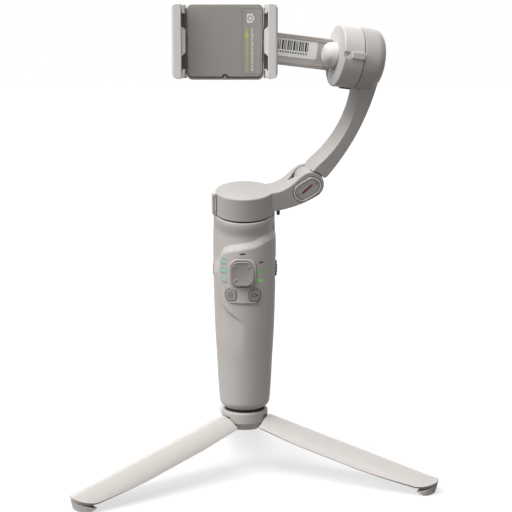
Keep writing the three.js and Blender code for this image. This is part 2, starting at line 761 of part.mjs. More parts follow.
// ---------------------------------------------------------------- tilt rotor, bar and roll motor

function tiltRotor() {
  const { radius, seam } = tilt;
  const shell = lathe([
    [0, -3],
    [motor.bore, -3],
    [motor.bore, seam],
    [radius, seam],
    [radius, -0.8],
    [radius - 0.8, 0],
    [0, 0],
  ]);
  const tab = block(-1, 3.3, -radius - 1.4, -radius + 1.4, seam, -5);
  const pocket = block(-FAR, -radius + 1, -3.2, 3.2, seam + 0.6, -5.8);
  return piece("tilt_rotor_housing", cut(join(shell, tab), pocket), "shell");
}

function tiltBumper() {
  const { radius, seam } = tilt;
  const rubber = block(-radius - 0.8, -radius + 0.7, -2.9, 2.9, seam + 0.9, -6.1);
  return piece("tilt_stop_bumper", rubber, "black");
}

// The bar runs beside the tilt axis, from a stub on the motor's disc to the back of the roll motor.
function barSolid(grow) {
  const { halfHeight, front, back, length, boss, bossLength } = bar;
  const shape = new THREE.Shape();
  shape.moveTo(halfHeight + grow, GAP);
  shape.lineTo(halfHeight + grow, length);
  shape.absarc(0, length, halfHeight + grow, 0, Math.PI);
  shape.lineTo(-halfHeight - grow, GAP);
  const blade = slab(shape, front - grow, back + grow, 10);
  const stub = disc(boss, GAP, bossLength, 32);
  const foot = block(-boss, boss, 0, front + 2, GAP, bossLength);
  return join(blade, stub, foot);
}

function rollHousing() {
  const { radius, bore, front, floor, back } = roll;
  const cup = lathe([
    [bore, front],
    [radius, front],
    [radius, back - 1.2],
    [radius - 1.2, back],
    [0, back],
    [0, floor],
    [2.9, floor],
    [2.9, 10.8],
    [4.4, 10.8],
    [4.4, floor],
    [bore, floor],
    [bore, front],
  ]);
  const saddle = barSolid(GAP).applyMatrix4(headInClamp);
  return piece("roll_motor_housing", cut(aboutY(cup), saddle), "shell");
}

function rollRotor() {
  const inner = 11.4;
  const cup = lathe([
    [0, 8.1],
    [roll.bore - 0.4, 8.1],
    [roll.bore - 0.4, 15.2],
    [inner, 15.2],
    [inner, 10.1],
    [2.5, 10.1],
    [2.5, 15.4],
    [0, 15.4],
  ]);
  return piece("roll_rotor", aboutY(cup), "steel");
}

function tiltHead() {
  return [tiltRotor(), tiltBumper(), piece("clamp_bar", barSolid(0), "shell")];
}

// ---------------------------------------------------------------- phone clamp

const toothPitch = (2 * Math.PI * rack.pitchRadius) / rack.teeth;

function pinion() {
  const shape = new THREE.Shape();
  const [root, tip] = [rack.pitchRadius - 0.8, rack.pitchRadius + 0.55];
  for (let i = 0; i < rack.teeth; i += 1) {
    const middle = 90 + (i + 0.5) * (360 / rack.teeth);
    const outline = [[root, -9], [tip, -4], [tip, 4], [root, 9]];
    outline.forEach(([r, turn], k) => {
      const [x, y] = circlePoint(0, 0, r, middle + turn);
      return i + k ? shape.lineTo(x, y) : shape.moveTo(x, y);
    });
  }
  const gear = slab(shape, rack.front, rack.back);
  const axle = aboutY(disc(1.4, clamp.baseFront + 0.8, clamp.baseBack - 0.6, 16));
  return piece("jaw_pinion", join(gear, axle), "steel");
}

// The toothed tongue of the right-hand jaw, above the pinion with its teeth pointing down.
function rackTongue() {
  const [root, tip] = [rack.pitchRadius + 0.8, rack.pitchRadius - 0.55];
  const teeth = 10;
  const outline = [[jaw.padInner, rack.top], [rack.end, rack.top], [rack.end, root]];
  for (let i = -(teeth - 2); i <= 1; i += 1) {
    const x = i * toothPitch;
    outline.push([x - 0.68, root], [x - 0.3, tip], [x + 0.3, tip], [x + 0.68, root]);
  }
  outline.push([jaw.padInner, root]);
  return slab(new THREE.Shape(vectors(outline)), rack.front, rack.back);
}

function clampBase() {
  const { baseWidth, baseHeight, baseFront, baseBack, corner } = clamp;
  const body = slab(roundedRect(baseWidth, baseHeight, corner), baseFront, baseBack).translate(0, 0, -0.5);
  const [near, far] = [rack.front - GAP, rack.back + GAP];
  const channel = block(rack.end - GAP, FAR, near, far, rack.pitchRadius - 1.1, rack.top + GAP);
  const well = aboutY(disc(rack.pitchRadius + 1, near, far, 24));
  const axleHole = aboutY(disc(1.6, baseFront + 0.5, baseBack - 0.4, 16));
  const opposite = channel.clone().rotateY(Math.PI);
  return piece("clamp_base", cut(body, channel, opposite, well, axleHole), "shell");
}

function clampPad() {
  const { padWidth, padHeight, padThickness, corner } = clamp;
  const body = slab(roundedRect(padWidth, padHeight, corner), 0, padThickness, 5);
  const low = -padHeight / 2;
  const notch = new THREE.Shape(vectors([[-2.6, low - 1], [2.6, low - 1], [0, low + 1.8]]));
  return piece("clamp_pad", cut(body, slab(notch, -1, padThickness + 1)), "pad");
}

// The right-hand jaw: a channel that hooks round the phone's edge, with the rack tongue behind.
function jawSolid() {
  const { inner, outer, front, lip, back, halfHeight, corner } = jaw;
  const flange = 24.8; // the tongue's carrier plate starts here, beside the clamp's base
  const channel = new THREE.Shape(
    vectors([
      [inner, front],
      [outer - 1.5, front],
      [outer, front + 1.5],
      [outer, back],
      [flange, back],
      [flange, rack.front],
      [outer - lip, rack.front],
      [outer - lip, front + lip],
      [inner, front + lip],
    ]),
  );
  const rail = plate(channel, -halfHeight, halfHeight);
  const faceOutline = roundedRect(2 * (outer - 10), 2 * halfHeight, corner);
  const face = slab(faceOutline, -FAR, FAR, 5).translate(10, 0, 0);
  const web = new THREE.Shape(
    vectors([
      [flange + 1, rack.front + 0.5],
      [outer - 1, rack.front + 0.5],
      [outer - 1, front + 1],
      [inner + 1.5, front + 1],
    ]),
  );
  const webs = [plate(web, -halfHeight + 1, -halfHeight + 2.6), plate(web, halfHeight - 2.6, halfHeight - 1)];
  return join(common(join(rail, ...webs), face), rackTongue());
}

function jawPad() {
  const { padInner, padHalf, inner, outer, lip, front } = jaw;
  const back = outer - lip - GAP;
  const outline = vectors([
    [padInner, 2 - padHalf],
    [inner, -padHalf],
    [back, -padHalf],
    [back, padHalf],
    [inner, padHalf],
    [padInner, padHalf - 2],
  ]);
  return slab(new THREE.Shape(outline), front + lip + GAP, rack.front - GAP);
}

function phoneClamp() {
  const half = (geometry) => geometry.rotateY(Math.PI);
  return [
    rollHousing(),
    piece("roll_stator", aboutY(stator(4.7, 11, 10.6, 15.5)), "copper"),
    rollRotor(),
    clampBase(),
    clampPad(),
    pinion(),
    piece("jaw_right", jawSolid(), "shell"),
    piece("jaw_left", half(jawSolid()), "shell"),
    piece("jaw_pad_right", jawPad(), "jawPad"),
    piece("jaw_pad_left", half(jawPad()), "jawPad"),
  ];
}

// ---------------------------------------------------------------- the whole stabilizer

const stabilizer = groupOf(
  tripod(),
  handle(),
  placed(
    panFrame,
    motorDeck(),
    ...motorCore("pan", panHousing.roof, 18),
    ...panHead(),
    upperArm(),
    placed(tiltFrame, ...motorCore("tilt", -3, 21), placed(headFrame, ...tiltHead())),
  ),
  placed(clampFrame, ...phoneClamp()),
);

// The part's origin is under the middle of its box, on the ground.
stabilizer.updateMatrixWorld(true);
const box = new THREE.Box3().setFromObject(stabilizer, true);
stabilizer.position.set(-(box.min.x + box.max.x) / 2, -(box.min.y + box.max.y) / 2, -box.min.z);

export default stabilizer;
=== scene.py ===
"""The looks of a three-axis phone gimbal that stands on its folding table tripod.

Every visible CAD piece gets a finer skin, built in millimetres in the frame of the joint it belongs to and
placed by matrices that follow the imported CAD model. Hidden pieces keep their CAD mesh and get a material.
"""
import math
from functools import partial

import bmesh
import bpy
import numpy as np
from mathutils import Matrix, Vector


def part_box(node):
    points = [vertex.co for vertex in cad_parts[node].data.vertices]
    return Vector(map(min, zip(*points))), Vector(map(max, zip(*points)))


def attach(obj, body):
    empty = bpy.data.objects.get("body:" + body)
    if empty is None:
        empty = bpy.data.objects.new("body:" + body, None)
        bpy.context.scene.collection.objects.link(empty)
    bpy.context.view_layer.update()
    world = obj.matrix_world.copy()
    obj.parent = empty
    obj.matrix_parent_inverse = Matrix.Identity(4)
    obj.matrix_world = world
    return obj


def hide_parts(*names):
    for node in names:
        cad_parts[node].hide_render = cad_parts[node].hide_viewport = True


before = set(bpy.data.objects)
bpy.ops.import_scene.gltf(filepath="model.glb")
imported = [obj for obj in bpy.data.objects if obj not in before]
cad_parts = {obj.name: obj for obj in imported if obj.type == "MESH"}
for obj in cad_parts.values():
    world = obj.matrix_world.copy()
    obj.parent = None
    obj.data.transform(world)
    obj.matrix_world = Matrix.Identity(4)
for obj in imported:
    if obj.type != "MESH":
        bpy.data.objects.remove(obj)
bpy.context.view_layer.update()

# -------- driving dimensions, in millimetres

MM = 0.001
FAR = 60
GAP = 0.3

LEG_TURNS = {"left": -52, "right": 68, "rear": 184}
LEG = dict(pivot=11, height=36.5, slope=14.6, root=5.6, length=132, crown=6, radius=17, wall=2.6)
LEG_HALVES = dict(root=13.2, tip=12.4, widest=14.3, foot=11.6)
KNUCKLE = dict(radius=3.3, half=3.5, bore=1.55)
SLOT = dict(start=7.1, half=3.8, top=40.4)
FOOT = dict(length=10, half_angle=57.2, start=-2.5, lead_in=0.316)  # lead_in: the inner end's slope
HUB = dict(base=31, base_radius=12.3, cap_top=35.7, cap_radius=15.1, bottom=36, top=44, radius=16.1)
SCREW_POCKET = dict(radius=5.7, low=34.2, high=37.5, thread=3.6)
GRIP = dict(bottom=44.9, bore=6.8, flat=9.5, corner=8, corner_top=51, wall=2.2, mouth=19.2, lip=0.7)
RIM = 182.1
PAN_TILT, PAN_YAW = 12, 12.5
CONTROLS = dict(azimuth=-2.9, height=144.1)
SLIDER_HEIGHT, POWER_HEIGHT = 143.9, 143.5
SOCKET = (-101, 155)  # azimuth and height
LEFT_LIGHTS, RIGHT_LIGHTS = -37.6, 35.1
LIGHT_RISE, LIGHT_PITCH = 0.5, 6.2
STATUS_WINDOW = (5, 4)
BATTERY_WINDOWS = ((3.6, 1.9), (3.6, 2.6), (3.3, 1.1))  # from the lowest up
KEYS = dict(drop=-15.5, spread=21.5, size=8, corner=2.7)
HOUSING = dict(radius=19.9, top=16.5)
HINGE = (44, 20)
ARM_HALF = 10.5
CHEEK = 9.4
FORK_HALF, KNUCKLE_HALF = 6.5, 6.2
PIN_BORE = 3
MOTOR_BORE = 17.4
PEG_X = 23.8
TILT = dict(x=62, z=106.5, rise=9.8, radius=20.5, seam=-13.8, end=-30.4, level=11.8)
BADGE = dict(x=41.5, z=17.5, angle=30, length=20.7, height=13.6, trim=1.4, proud=0.6, depth=1.6)
BAR = dict(half_height=10.5, length=75.6, front=10, back=17, recess=7.9, recess_end=74)
BOSS = dict(radius=8.2, length=8.6)
CLAMP_SIZE = (49.3, 48.2)
PAD_SIZE = (48.2, 45.4)
JAW_HALF = 23.6
PINION = dict(radius=4, teeth=10)
CAMERA_AT = (7.93, -882.93, 307.7)
CAMERA_PITCH, CAMERA_LENS = 80, 91.4

# -------- frames


def move(x, y, z):
    return Matrix.Translation((x, y, z))


def turn(degrees, axis):
    return Matrix.Rotation(math.radians(degrees), 4, axis)


def middle(node):
    low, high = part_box(node)
    return (low + high) / 2


axis = middle("tripod_screw")
HANDLE = move(axis.x, axis.y, 0) @ Matrix.Scale(MM, 4)
PAN = HANDLE @ move(0, 0, RIM) @ turn(PAN_TILT, "X") @ turn(PAN_YAW, "Z")
TILT_FRAME = PAN @ move(TILT["x"], 0, TILT["z"]) @ turn(TILT["rise"] - 90, "Y")
HEAD = TILT_FRAME @ turn(TILT["level"], "Z")
pad_middle = middle("clamp_pad")
pad_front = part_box("clamp_pad")[0].y
CLAMP = move(pad_middle.x, pad_front, pad_middle.z) @ Matrix.Scale(MM, 4)
STANDING = turn(90, "X")  # an outline drawn as (x, y) stands up as (x, z); its thickness runs along -Y


def skin_frame(azimuth, height):
    """Z out of the handle's skin, X to the right and Y up, as the user sees it."""
    return HANDLE @ turn(azimuth, "Z") @ move(0, 0, height) @ turn(90, "X")


# -------- outlines


def arc(x, y, radius, start, end, steps=12):
    angles = np.radians(np.linspace(start, end, steps))
    return [(x + radius * math.cos(a), y + radius * math.sin(a)) for a in angles]


def bezier(p0, p1, p2, p3, steps=12):
    points = []
    for t in np.linspace(0, 1, steps):
        a, b, c, d = (1 - t) ** 3, 3 * t * (1 - t) ** 2, 3 * t * t * (1 - t), t**3
        points.append(tuple(a * w + b * x + c * y + d * z for w, x, y, z in zip(p0, p1, p2, p3)))
    return points


def rounded(corners, steps=6, closed=True):
    """Points through (x, y, radius) corners, each one rounded by an arc."""
    points = []
    count = len(corners)
    for i, (x, y, radius) in enumerate(corners):
        here = Vector((x, y))
        if radius <= 0 or (not closed and i in (0, count - 1)):
            points.append((x, y))
            continue
        back = (Vector(corners[i - 1][:2]) - here).normalized()
        on = (Vector(corners[(i + 1) % count][:2]) - here).normalized()
        half = back.angle(on) / 2
        centre = here + (back + on).normalized() * radius / math.sin(half)
        reach = radius / math.tan(half)
        first, last = here + back * reach - centre, here + on * reach - centre
        sweep = first.angle_signed(last)
        for t in np.linspace(0, 1, steps):
            spoke = first.copy()
            spoke.rotate(Matrix.Rotation(-sweep * t, 2))
            points.append(tuple(centre + spoke))
    return points


def rectangle(width, height, radius, steps=6):
    x, y = width / 2, height / 2
    return rounded([(-x, -y, radius), (x, -y, radius), (x, y, radius), (-x, y, radius)], steps)


def stadium(length, height):
    return rectangle(length, height, height / 2 - 0.01, 12)


def circle(radius, sides, phase=0.0):
    angles = [2 * math.pi * i / sides + math.radians(phase) for i in range(sides)]
    return [(radius * math.cos(a), radius * math.sin(a)) for a in angles]


def inset(outline, depth):
    """The outline moved inwards by depth, corner by corner."""
    if not depth:
        return list(outline)
    area = sum(a[0] * b[1] - b[0] * a[1] for a, b in zip(outline, outline[1:] + outline[:1]))
    side = 1 if area > 0 else -1
    result = []
    for i, point in enumerate(outline):
        here = Vector(point)
        before = here - Vector(outline[i - 1])
        after = Vector(outline[(i + 1) % len(outline)]) - here
        if before.length < 1e-6 or after.length < 1e-6:
            before = after = before if before.length > after.length else after
        n1 = Vector((-before.y, before.x)).normalized() * side
        n2 = Vector((-after.y, after.x)).normalized() * side
        mitre = (n1 + n2).normalized()
        result.append(tuple(here + mitre * depth / max(0.5, mitre.dot(n1))))
    return result


# -------- meshes


def made(name, points, faces, place):
    mesh = bpy.data.meshes.new(name)
    mesh.from_pydata([place @ Vector(p) for p in points], [], faces)
    obj = bpy.data.objects.new(name, mesh)
    bpy.context.scene.collection.objects.link(obj)
    shell = bmesh.new()
    shell.from_mesh(mesh)
    bmesh.ops.remove_doubles(shell, verts=shell.verts, dist=2e-7)
    bmesh.ops.recalc_face_normals(shell, faces=shell.faces)
    shell.to_mesh(mesh)
    shell.free()
    return obj


def loft(name, rings, place, ringed=False):
    """A skin over closed rings of 3-D points. Its ends are capped, or joined to each other when ringed."""
    sides = len(rings[0])
    points = [p for ring in rings for p in ring]
    faces = []
    for k in range(len(rings) if ringed else len(rings) - 1):
        low, high = k * sides, ((k + 1) % len(rings)) * sides
        for i in range(sides):
            j = (i + 1) % sides
            faces.append((low + i, low + j, high + j, high + i))
    if not ringed:
        faces.append(tuple(reversed(range(sides))))
        faces.append(tuple(range((len(rings) - 1) * sides, len(rings) * sides)))
    return made(name, points, faces, place)


def lathe(name, profile, place, sides=96, ringed=False):
    """A [radius, height] profile turned about Z: solid, or with a hole when ringed."""
    rings = [[(x, y, z) for x, y in circle(r, sides)] for r, z in profile]
    return loft(name, rings, place, ringed)


def prism(name, outline, low, high, place, edge=0.4, steps=4, low_edge=None):
    """An outline made as thick as low to high, with rounded edges."""
    low_edge = edge if low_edge is None else low_edge
    layers = []
    for t in np.linspace(0, math.pi / 2, steps if low_edge else 1):
        layers.append((low_edge * (1 - math.sin(t)), low + low_edge * (1 - math.cos(t))))
    for t in np.linspace(0, math.pi / 2, steps if edge else 1):
        layers.append((edge * (1 - math.cos(t)), high - edge * (1 - math.sin(t))))
    return loft(name, [[(x, y, z) for x, y in inset(outline, d)] for d, z in layers], place)


def slab(name, outline, near, far, place, edge=0.4, steps=4):
    """An outline drawn as (x, z), as thick as near to far along Y."""
    return prism(name, outline, -far, -near, place @ STANDING, edge, steps)


def block(name, x0, x1, y0, y1, z0, z1, place, edge=0.0):
    outline = [(x0, y0), (x1, y0), (x1, y1), (x0, y1)]
    if edge:
        outline = rounded([(x, y, edge) for x, y in outline], 4)
    return prism(name, outline, z0, z1, place, edge)


def rod(name, radius, low, high, place, edge=0.0, sides=64):
    profile = [(radius, low), (radius, high)]
    if edge:
        corners = [(0.01, low, 0), (radius, low, edge), (radius, high, edge), (0.01, high, 0)]
        profile = rounded(corners, 5, False)
    return lathe(name, profile, place, sides)


def bake(obj):
    """Applies the modifiers of obj."""
    graph = bpy.context.evaluated_depsgraph_get()
    obj.data = bpy.data.meshes.new_from_object(obj.evaluated_get(graph))
    obj.modifiers.clear()


def boolean(operation, obj, *tools):
    for tool in tools:
        change = obj.modifiers.new("Boolean", "BOOLEAN")
        change.operation = operation
        change.solver = "MANIFOLD"
        change.object = tool
    bake(obj)
    for tool in tools:
        bpy.data.objects.remove(tool)
    return obj


cut = partial(boolean, "DIFFERENCE")
union = partial(boolean, "UNION")
common = partial(boolean, "INTERSECT")


def joined(obj, *others):
    """One mesh object out of several that don't touch."""
    mesh = bmesh.new()
    for o in (obj, *others):
        mesh.from_mesh(o.data)
    mesh.to_mesh(obj.data)
    mesh.free()
    for o in others:
        bpy.data.objects.remove(o)
    return obj


def soften(obj, width, angle):
    """Bevels the edges that turn by more than angle."""
    soft = obj.modifiers.new("Edges", "BEVEL")
    soft.width = width * MM
    soft.segments = 2
    soft.limit_method = "ANGLE"
    soft.angle_limit = math.radians(angle)
    bake(obj)


def ready(obj, body, paint, nodes=(), sharp=38, bevel=0.0):
    """Smooths and paints a finished piece, attaches it to its body and hides the CAD pieces it replaces."""
    if bevel:
        soften(obj, bevel, 40)
    for face in obj.data.polygons:
        face.use_smooth = True
    obj.data.set_sharp_from_angle(angle=math.radians(sharp))
    normals = obj.modifiers.new("Normals", "WEIGHTED_NORMAL")
    normals.keep_sharp = True
    if paint is not None:
        obj.data.materials.clear()
        obj.data.materials.append(paint)
    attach(obj, body)
    if nodes:
        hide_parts(*nodes)
    return obj


# -------- materials


def node(tree, kind, sockets=None, **settings):
    item = tree.nodes.new("ShaderNode" + kind)
    for key, value in settings.items():
        setattr(item, key, value)
    for socket, value in (sockets or {}).items():
        if isinstance(value, bpy.types.NodeSocket):
            tree.links.new(value, item.inputs[socket])
        else:
            item.inputs[socket].default_value = value
    return item


def noise(tree, where, scale, detail=3.0, roughness=0.55):
    sockets = {"Vector": where, "Scale": scale, "Detail": detail, "Roughness": roughness}
    return node(tree, "TexNoise", sockets).outputs["Fac"]


def ranged(tree, value, low, high, to_low, to_high):
    sockets = {"Value": value, "From Min": low, "From Max": high, "To Min": to_low, "To Max": to_high}
    return node(tree, "MapRange", sockets).outputs["Result"]


def blend(tree, factor, first, second):
    sockets = {0: factor, 6: first, 7: second}
    return node(tree, "Mix", sockets, data_type="RGBA").outputs[2]


def scaled(colour, factor):
    """A colour on the 0 to 255 screen scale, as linear light that is factor times as bright."""
    shares = [v / 255 for v in colour]
    light = [v / 12.92 if v < 0.04045 else ((v + 0.055) / 1.055) ** 2.4 for v in shares]
    return tuple(min(1.0, v * factor) for v in light) + (1.0,)


def material(name):
    paint = bpy.data.materials.new(name)
    paint.use_nodes = True
    tree = paint.node_tree
    shader = tree.nodes["Principled BSDF"]
    where = node(tree, "TexCoord").outputs["Object"]
    return paint, tree, shader, where


def moulded(name, colour, rough=0.5, grain=0.35, depth=0.02, spread=0.035, wear=1.05, specular=0.5):
    """Moulded plastic or rubber: fine spark-eroded grain, faint mottling, and edges that are rubbed paler."""
    paint, tree, shader, where = material(name)
    fine = noise(tree, where, 1 / (grain * MM), 2.0)
    broad = noise(tree, where, 35.0, 3.0)
    scuffs = noise(tree, where, 420.0, 4.0, 0.7)
    tone = blend(tree, broad, scaled(colour, 1 - spread), scaled(colour, 1 + spread))
    sharp_edge = node(tree, "NewGeometry").outputs["Pointiness"]
    edge = ranged(tree, sharp_edge, 0.52, 0.6, 0.0, 0.6)
    tone = blend(tree, edge, tone, scaled(colour, wear))
    tree.links.new(tone, shader.inputs["Base Color"])
    tree.links.new(ranged(tree, scuffs, 0.3, 0.7, rough - 0.05, rough + 0.06), shader.inputs["Roughness"])
    sockets = {"Height": fine, "Strength": 0.5, "Distance": depth * MM}
    tree.links.new(node(tree, "Bump", sockets).outputs["Normal"], shader.inputs["Normal"])
    shader.inputs["Specular IOR Level"].default_value = specular
    return paint


def metal(name, colour, rough=0.3, stretch=(1, 1, 40)):
    """Turned or drawn metal with fine lines and faint stains."""
    paint, tree, shader, where = material(name)
    lines = node(tree, "Mapping", {"Vector": where, "Scale": stretch}).outputs["Vector"]
    brushed = noise(tree, lines, 120.0, 4.0)
    stains = noise(tree, where, 90.0, 3.0)
    tone = blend(tree, stains, scaled(colour, 0.88), scaled(colour, 1.06))
    tree.links.new(tone, shader.inputs["Base Color"])
    tree.links.new(ranged(tree, brushed, 0.3, 0.7, rough * 0.8, rough * 1.3), shader.inputs["Roughness"])
    sockets = {"Height": brushed, "Strength": 0.2, "Distance": 0.01 * MM}
    tree.links.new(node(tree, "Bump", sockets).outputs["Normal"], shader.inputs["Normal"])
    shader.inputs["Metallic"].default_value = 1.0
    return paint


def glowing(name, colour, strength):
    """A lit window of milky plastic, a little brighter in some places than others."""
    paint, tree, shader, where = material(name)
    cloud = noise(tree, where, 900.0, 2.0)
    tone = blend(tree, cloud, scaled(colour, 0.75), scaled(colour, 1.1))
    tree.links.new(tone, shader.inputs["Base Color"])
    tree.links.new(tone, shader.inputs["Emission Color"])
    tree.links.new(ranged(tree, cloud, 0.3, 0.7, 0.25, 0.4), shader.inputs["Roughness"])
    shader.inputs["Emission Strength"].default_value = strength
    return paint


SHELL = moulded("shell_plastic", (191, 186, 182), rough=0.48, specular=0.35)
# The next two are the shell's grey made brighter: painted light for the parts that the light catches more,
# less so on the tilt rotor.
SHELL_PAINTED_LIGHT = moulded("shell_plastic_painted_light", (229, 226, 223), rough=0.48, specular=0.35)
SHELL_PAINTED_HALF_LIGHT = moulded("shell_plastic_painted_half_light", (210, 207, 204), rough=0.48, specular=0.35)
SHADE = moulded("shade_plastic", (120, 115, 110), rough=0.55)
KEY = moulded("key_plastic", (148, 143, 140), grain=0.3)
# The foot's rubber is lighter than the shell's grey: painted light that cancels the shade the foot sits in
# under the leg's tip.
SOLE_PAINTED_LIGHT = moulded("sole_rubber_painted_light", (205, 202, 198), rough=0.8, grain=0.5, depth=0.04, specular=0.3)
RUBBER = moulded("rubber", (74, 71, 69), rough=0.8, grain=0.5, depth=0.04, specular=0.3)
BLACK = moulded("black_plastic", (34, 34, 35), rough=0.6, grain=0.4)
PAD = moulded("pad_rubber", (170, 165, 161), rough=0.8, grain=0.55, depth=0.04, specular=0.3)
JAW_PAD = moulded("jaw_pad_rubber", (232, 229, 226), rough=0.65, grain=0.4)
BOARD = moulded("board_green", (31, 90, 55))
CELL = moulded("cell_wrap", (58, 106, 165), rough=0.4)
LABEL = moulded("label_paper", (250, 249, 247), rough=0.45, grain=0.2, depth=0.004)
INK = moulded("ink", (42, 40, 40), grain=0.2, depth=0.004)
PRINT = moulded("white_print", (238, 236, 232), rough=0.55, grain=0.2, depth=0.004)
ARROW = moulded("arrow_print", (196, 204, 92), rough=0.55, grain=0.2, depth=0.004)
FAINT = moulded("faint_print", (112, 109, 106), rough=0.7, grain=0.2, depth=0.004)
RED = moulded("red_slit", (112, 24, 18), rough=0.4, grain=0.3)
CHROME = metal("chrome", (150, 145, 142), rough=0.2, stretch=(1, 1, 1))
STEEL = metal("steel", (154, 157, 161), rough=0.35)
COPPER = metal("copper_wire", (184, 115, 51), rough=0.4)
BRASS = metal("brass", (181, 160, 90), rough=0.35)
MILKY = glowing("milky_light", (178, 180, 175), 0.0)
TEAL = glowing("teal_light", (128, 208, 182), 0.22)
TEAL_DARK = glowing("dark_teal_light", (92, 150, 130), 0.05)
GREEN = glowing("green_light", (96, 200, 84), 0.35)
DIM_GREEN = glowing("dim_green_light", (128, 190, 126), 0.12)

# Hidden pieces that keep their CAD mesh.
CARRIED = [
    (STEEL, ["tripod_screw", "fold_hinge_pin", "jaw_pinion", *(f"leg_pin_{side}" for side in LEG_TURNS)]),
    (STEEL, [f"{motor}_{part}" for motor in ("pan", "tilt") for part in ("magnet_ring", "bearing", "shaft")]),
    (STEEL, ["roll_rotor"]),
    (COPPER, [f"{motor}_stator" for motor in ("pan", "tilt", "roll")]),
    (BRASS, ["tripod_insert"]),
    (BOARD, ["main_board"]),
    (CELL, ["battery_cell"]),
    (BLACK, ["joystick_housing"]),
    (SHADE, ["joystick_yoke", "motor_deck"]),
]

# -------- tripod


def leg_turn(azimuth):
    return HANDLE @ turn(azimuth - 90, "Z")


def leg_slots():
    start, half, top = SLOT["start"], SLOT["half"], SLOT["top"]
    return [block("slot", start, FAR, -half, half, 0, top, leg_turn(a)) for a in LEG_TURNS.values()]


def tripod_hub():
    radius, bottom, top = HUB["radius"], HUB["bottom"], HUB["top"]
    pocket, low, high, thread = SCREW_POCKET.values()
    profile = rounded(
        [(pocket, bottom, 0), (radius, bottom, 0.4), (radius, top, 1.3), (14, top, 0.2), (14, top - 0.9, 0),
         (thread, top - 0.9, 0), (thread, high, 0), (pocket, high, 0)], 6)
    hub = cut(lathe("hub_skin", profile, HANDLE, 128, ringed=True), *leg_slots())
    ready(hub, "handle", SHELL, ["tripod_hub"], bevel=0.2)
    base, edge = HUB["base"], HUB["cap_top"]
    profile = rounded(
        [(0.2, base, 0), (HUB["base_radius"], base, 0.6), (HUB["cap_radius"], edge, 0.2), (pocket, edge, 0),
         (pocket, low, 0), (0.2, low, 0)], 5, False)
    cap = cut(lathe("hub_cap_skin", profile, HANDLE, 128), *leg_slots())
    ready(cap, "handle", SHELL_PAINTED_LIGHT, ["hub_base_cap"], bevel=0.15)
    low, high, bore = top - 0.6, top + 0.6, thread + GAP
    profile = rounded([(bore, low, 0), (13.7, low, 0), (13.7, high, 0.4), (bore, high, 0.2)], 4)
    pad = lathe("hub_pad_skin", profile, HANDLE, 128, ringed=True)
    ready(pad, "handle", RUBBER, ["hub_top_pad"])


def leg_half_width(x):
    """Half the leg's width, from its root to its rounded tip."""
    length = LEG["length"]
    shoulder = (length - 12, LEG_HALVES["tip"])
    body = bezier((LEG["root"], LEG_HALVES["root"]), (45, 15.2), (85, 15), shoulder, 40)
    tip = bezier(shoulder, (length - 4, 11.2), (length, 6.5), (length, 0), 30)
    xs, ws = zip(*(body + tip[1:]))
    return np.interp(x, xs, ws)


def leg_section(width):
    """The trough's section: an arc with flanks flattened a little, so that a crease runs along the ridge."""
    centre = LEG["crown"] - LEG["radius"]
    shrink = (LEG["radius"] - LEG["wall"]) / LEG["radius"]
    outer, inner = [], []
    for share in np.linspace(-1, 1, 33):
        y = min(width, LEG_HALVES["widest"]) * share
        rise = math.sqrt(LEG["radius"] ** 2 - y * y)
        drop = 0.55 * math.sin(math.pi * abs(share)) * min(1, width / 8)
        outer.append((y, centre + rise - drop))
        inner.append((y * shrink, centre + rise * shrink))
    return outer + inner[::-1]


def tripod_leg(side, azimuth):
    place = leg_turn(azimuth) @ move(LEG["pivot"], 0, LEG["height"]) @ turn(LEG["slope"], "Y")
    root, length = LEG["root"], LEG["length"]
    near = np.linspace(root, length - 14, 30)
    tip = length - 14 * (1 - np.sin(np.linspace(0, math.pi / 2, 22)[1:]))
    rings = []
    for x in [*near, *tip]:
        width = max(0.5, float(leg_half_width(min(x, length - 0.02))))
        rings.append([(x, y, z) for y, z in leg_section(width)])
    shell = loft(f"leg_{side}_shell", rings, place)
    soften(shell, 0.5, 50)
    radius, half = KNUCKLE["radius"], KNUCKLE["half"]
    knuckle = rod("knuckle", radius, -half, half, place @ turn(-90, "X"), 0.3, 48)
    web_outline = [(0, -radius), (9, -2.6), (16, 1.2), (16, 2.6), (root, radius), (0, radius)]
    web = slab("web", web_outline, -half, half, place, 0.3)
    bore = rod("bore", KNUCKLE["bore"], -FAR, FAR, place @ turn(-90, "X"), 0, 32)
    body = cut(union(shell, web, knuckle), bore)
    body.name = f"leg_{side}_skin"
    ready(body, f"leg_{side}", SHELL, [f"leg_{side}"], sharp=32)
    foot = rubber_foot(side, place)
    ready(foot, f"leg_{side}", SOLE_PAINTED_LIGHT, [f"foot_{side}"])


def rubber_foot(side, place):
    """A rubber pad that fills the shell's tip from below and stands flat on the ground.

    It ends flush with the shell, and seen along the leg it is a third of a disc.
    """
    slope = math.radians(LEG["slope"])
    centre = LEG["crown"] - LEG["radius"]
    inner = LEG["radius"] - LEG["wall"] - GAP
    start = LEG["length"] - FOOT["length"]
    flank = math.tan(math.radians(FOOT["half_angle"]))
    xs = LEG["length"] - FOOT["length"] * (1 - np.sin(np.linspace(0, math.pi / 2, 16)))
    edge = [(x, min(float(leg_half_width(x)), LEG_HALVES["foot"])) for x in xs[:-1]]
    plan = [(x, -y) for x, y in edge] + [(x, y) for x, y in reversed(edge)]

    def underside(x, y, lift):
        ground = (x * math.sin(slope) - LEG["height"]) / math.cos(slope)
        lead_in = FOOT["start"] - FOOT["lead_in"] * (x - start)
        return max(ground + lift, centre + abs(y) / flank, lead_in)

    rings = []
    for depth, lift in ((0.5, 0), (0, 0.4)):
        rings.append([(x, y, underside(x, y, lift)) for x, y in inset(plan, depth)])
    rings.append([(x, y, centre + math.sqrt(inner**2 - y * y)) for x, y in plan])
    return loft(f"foot_{side}_skin", rings, place)


# -------- handle

# The grip's side as (height, radius). The sloping rim ends it below the last point.
GRIP_SIDE = [(51, 17.5), (63.5, 18.4), (78.5, 19.1), (101.5, 20.4), (125, 21.1), (155.5, 21.65), (190, 21)]
SKIN_RADIUS = 21.5
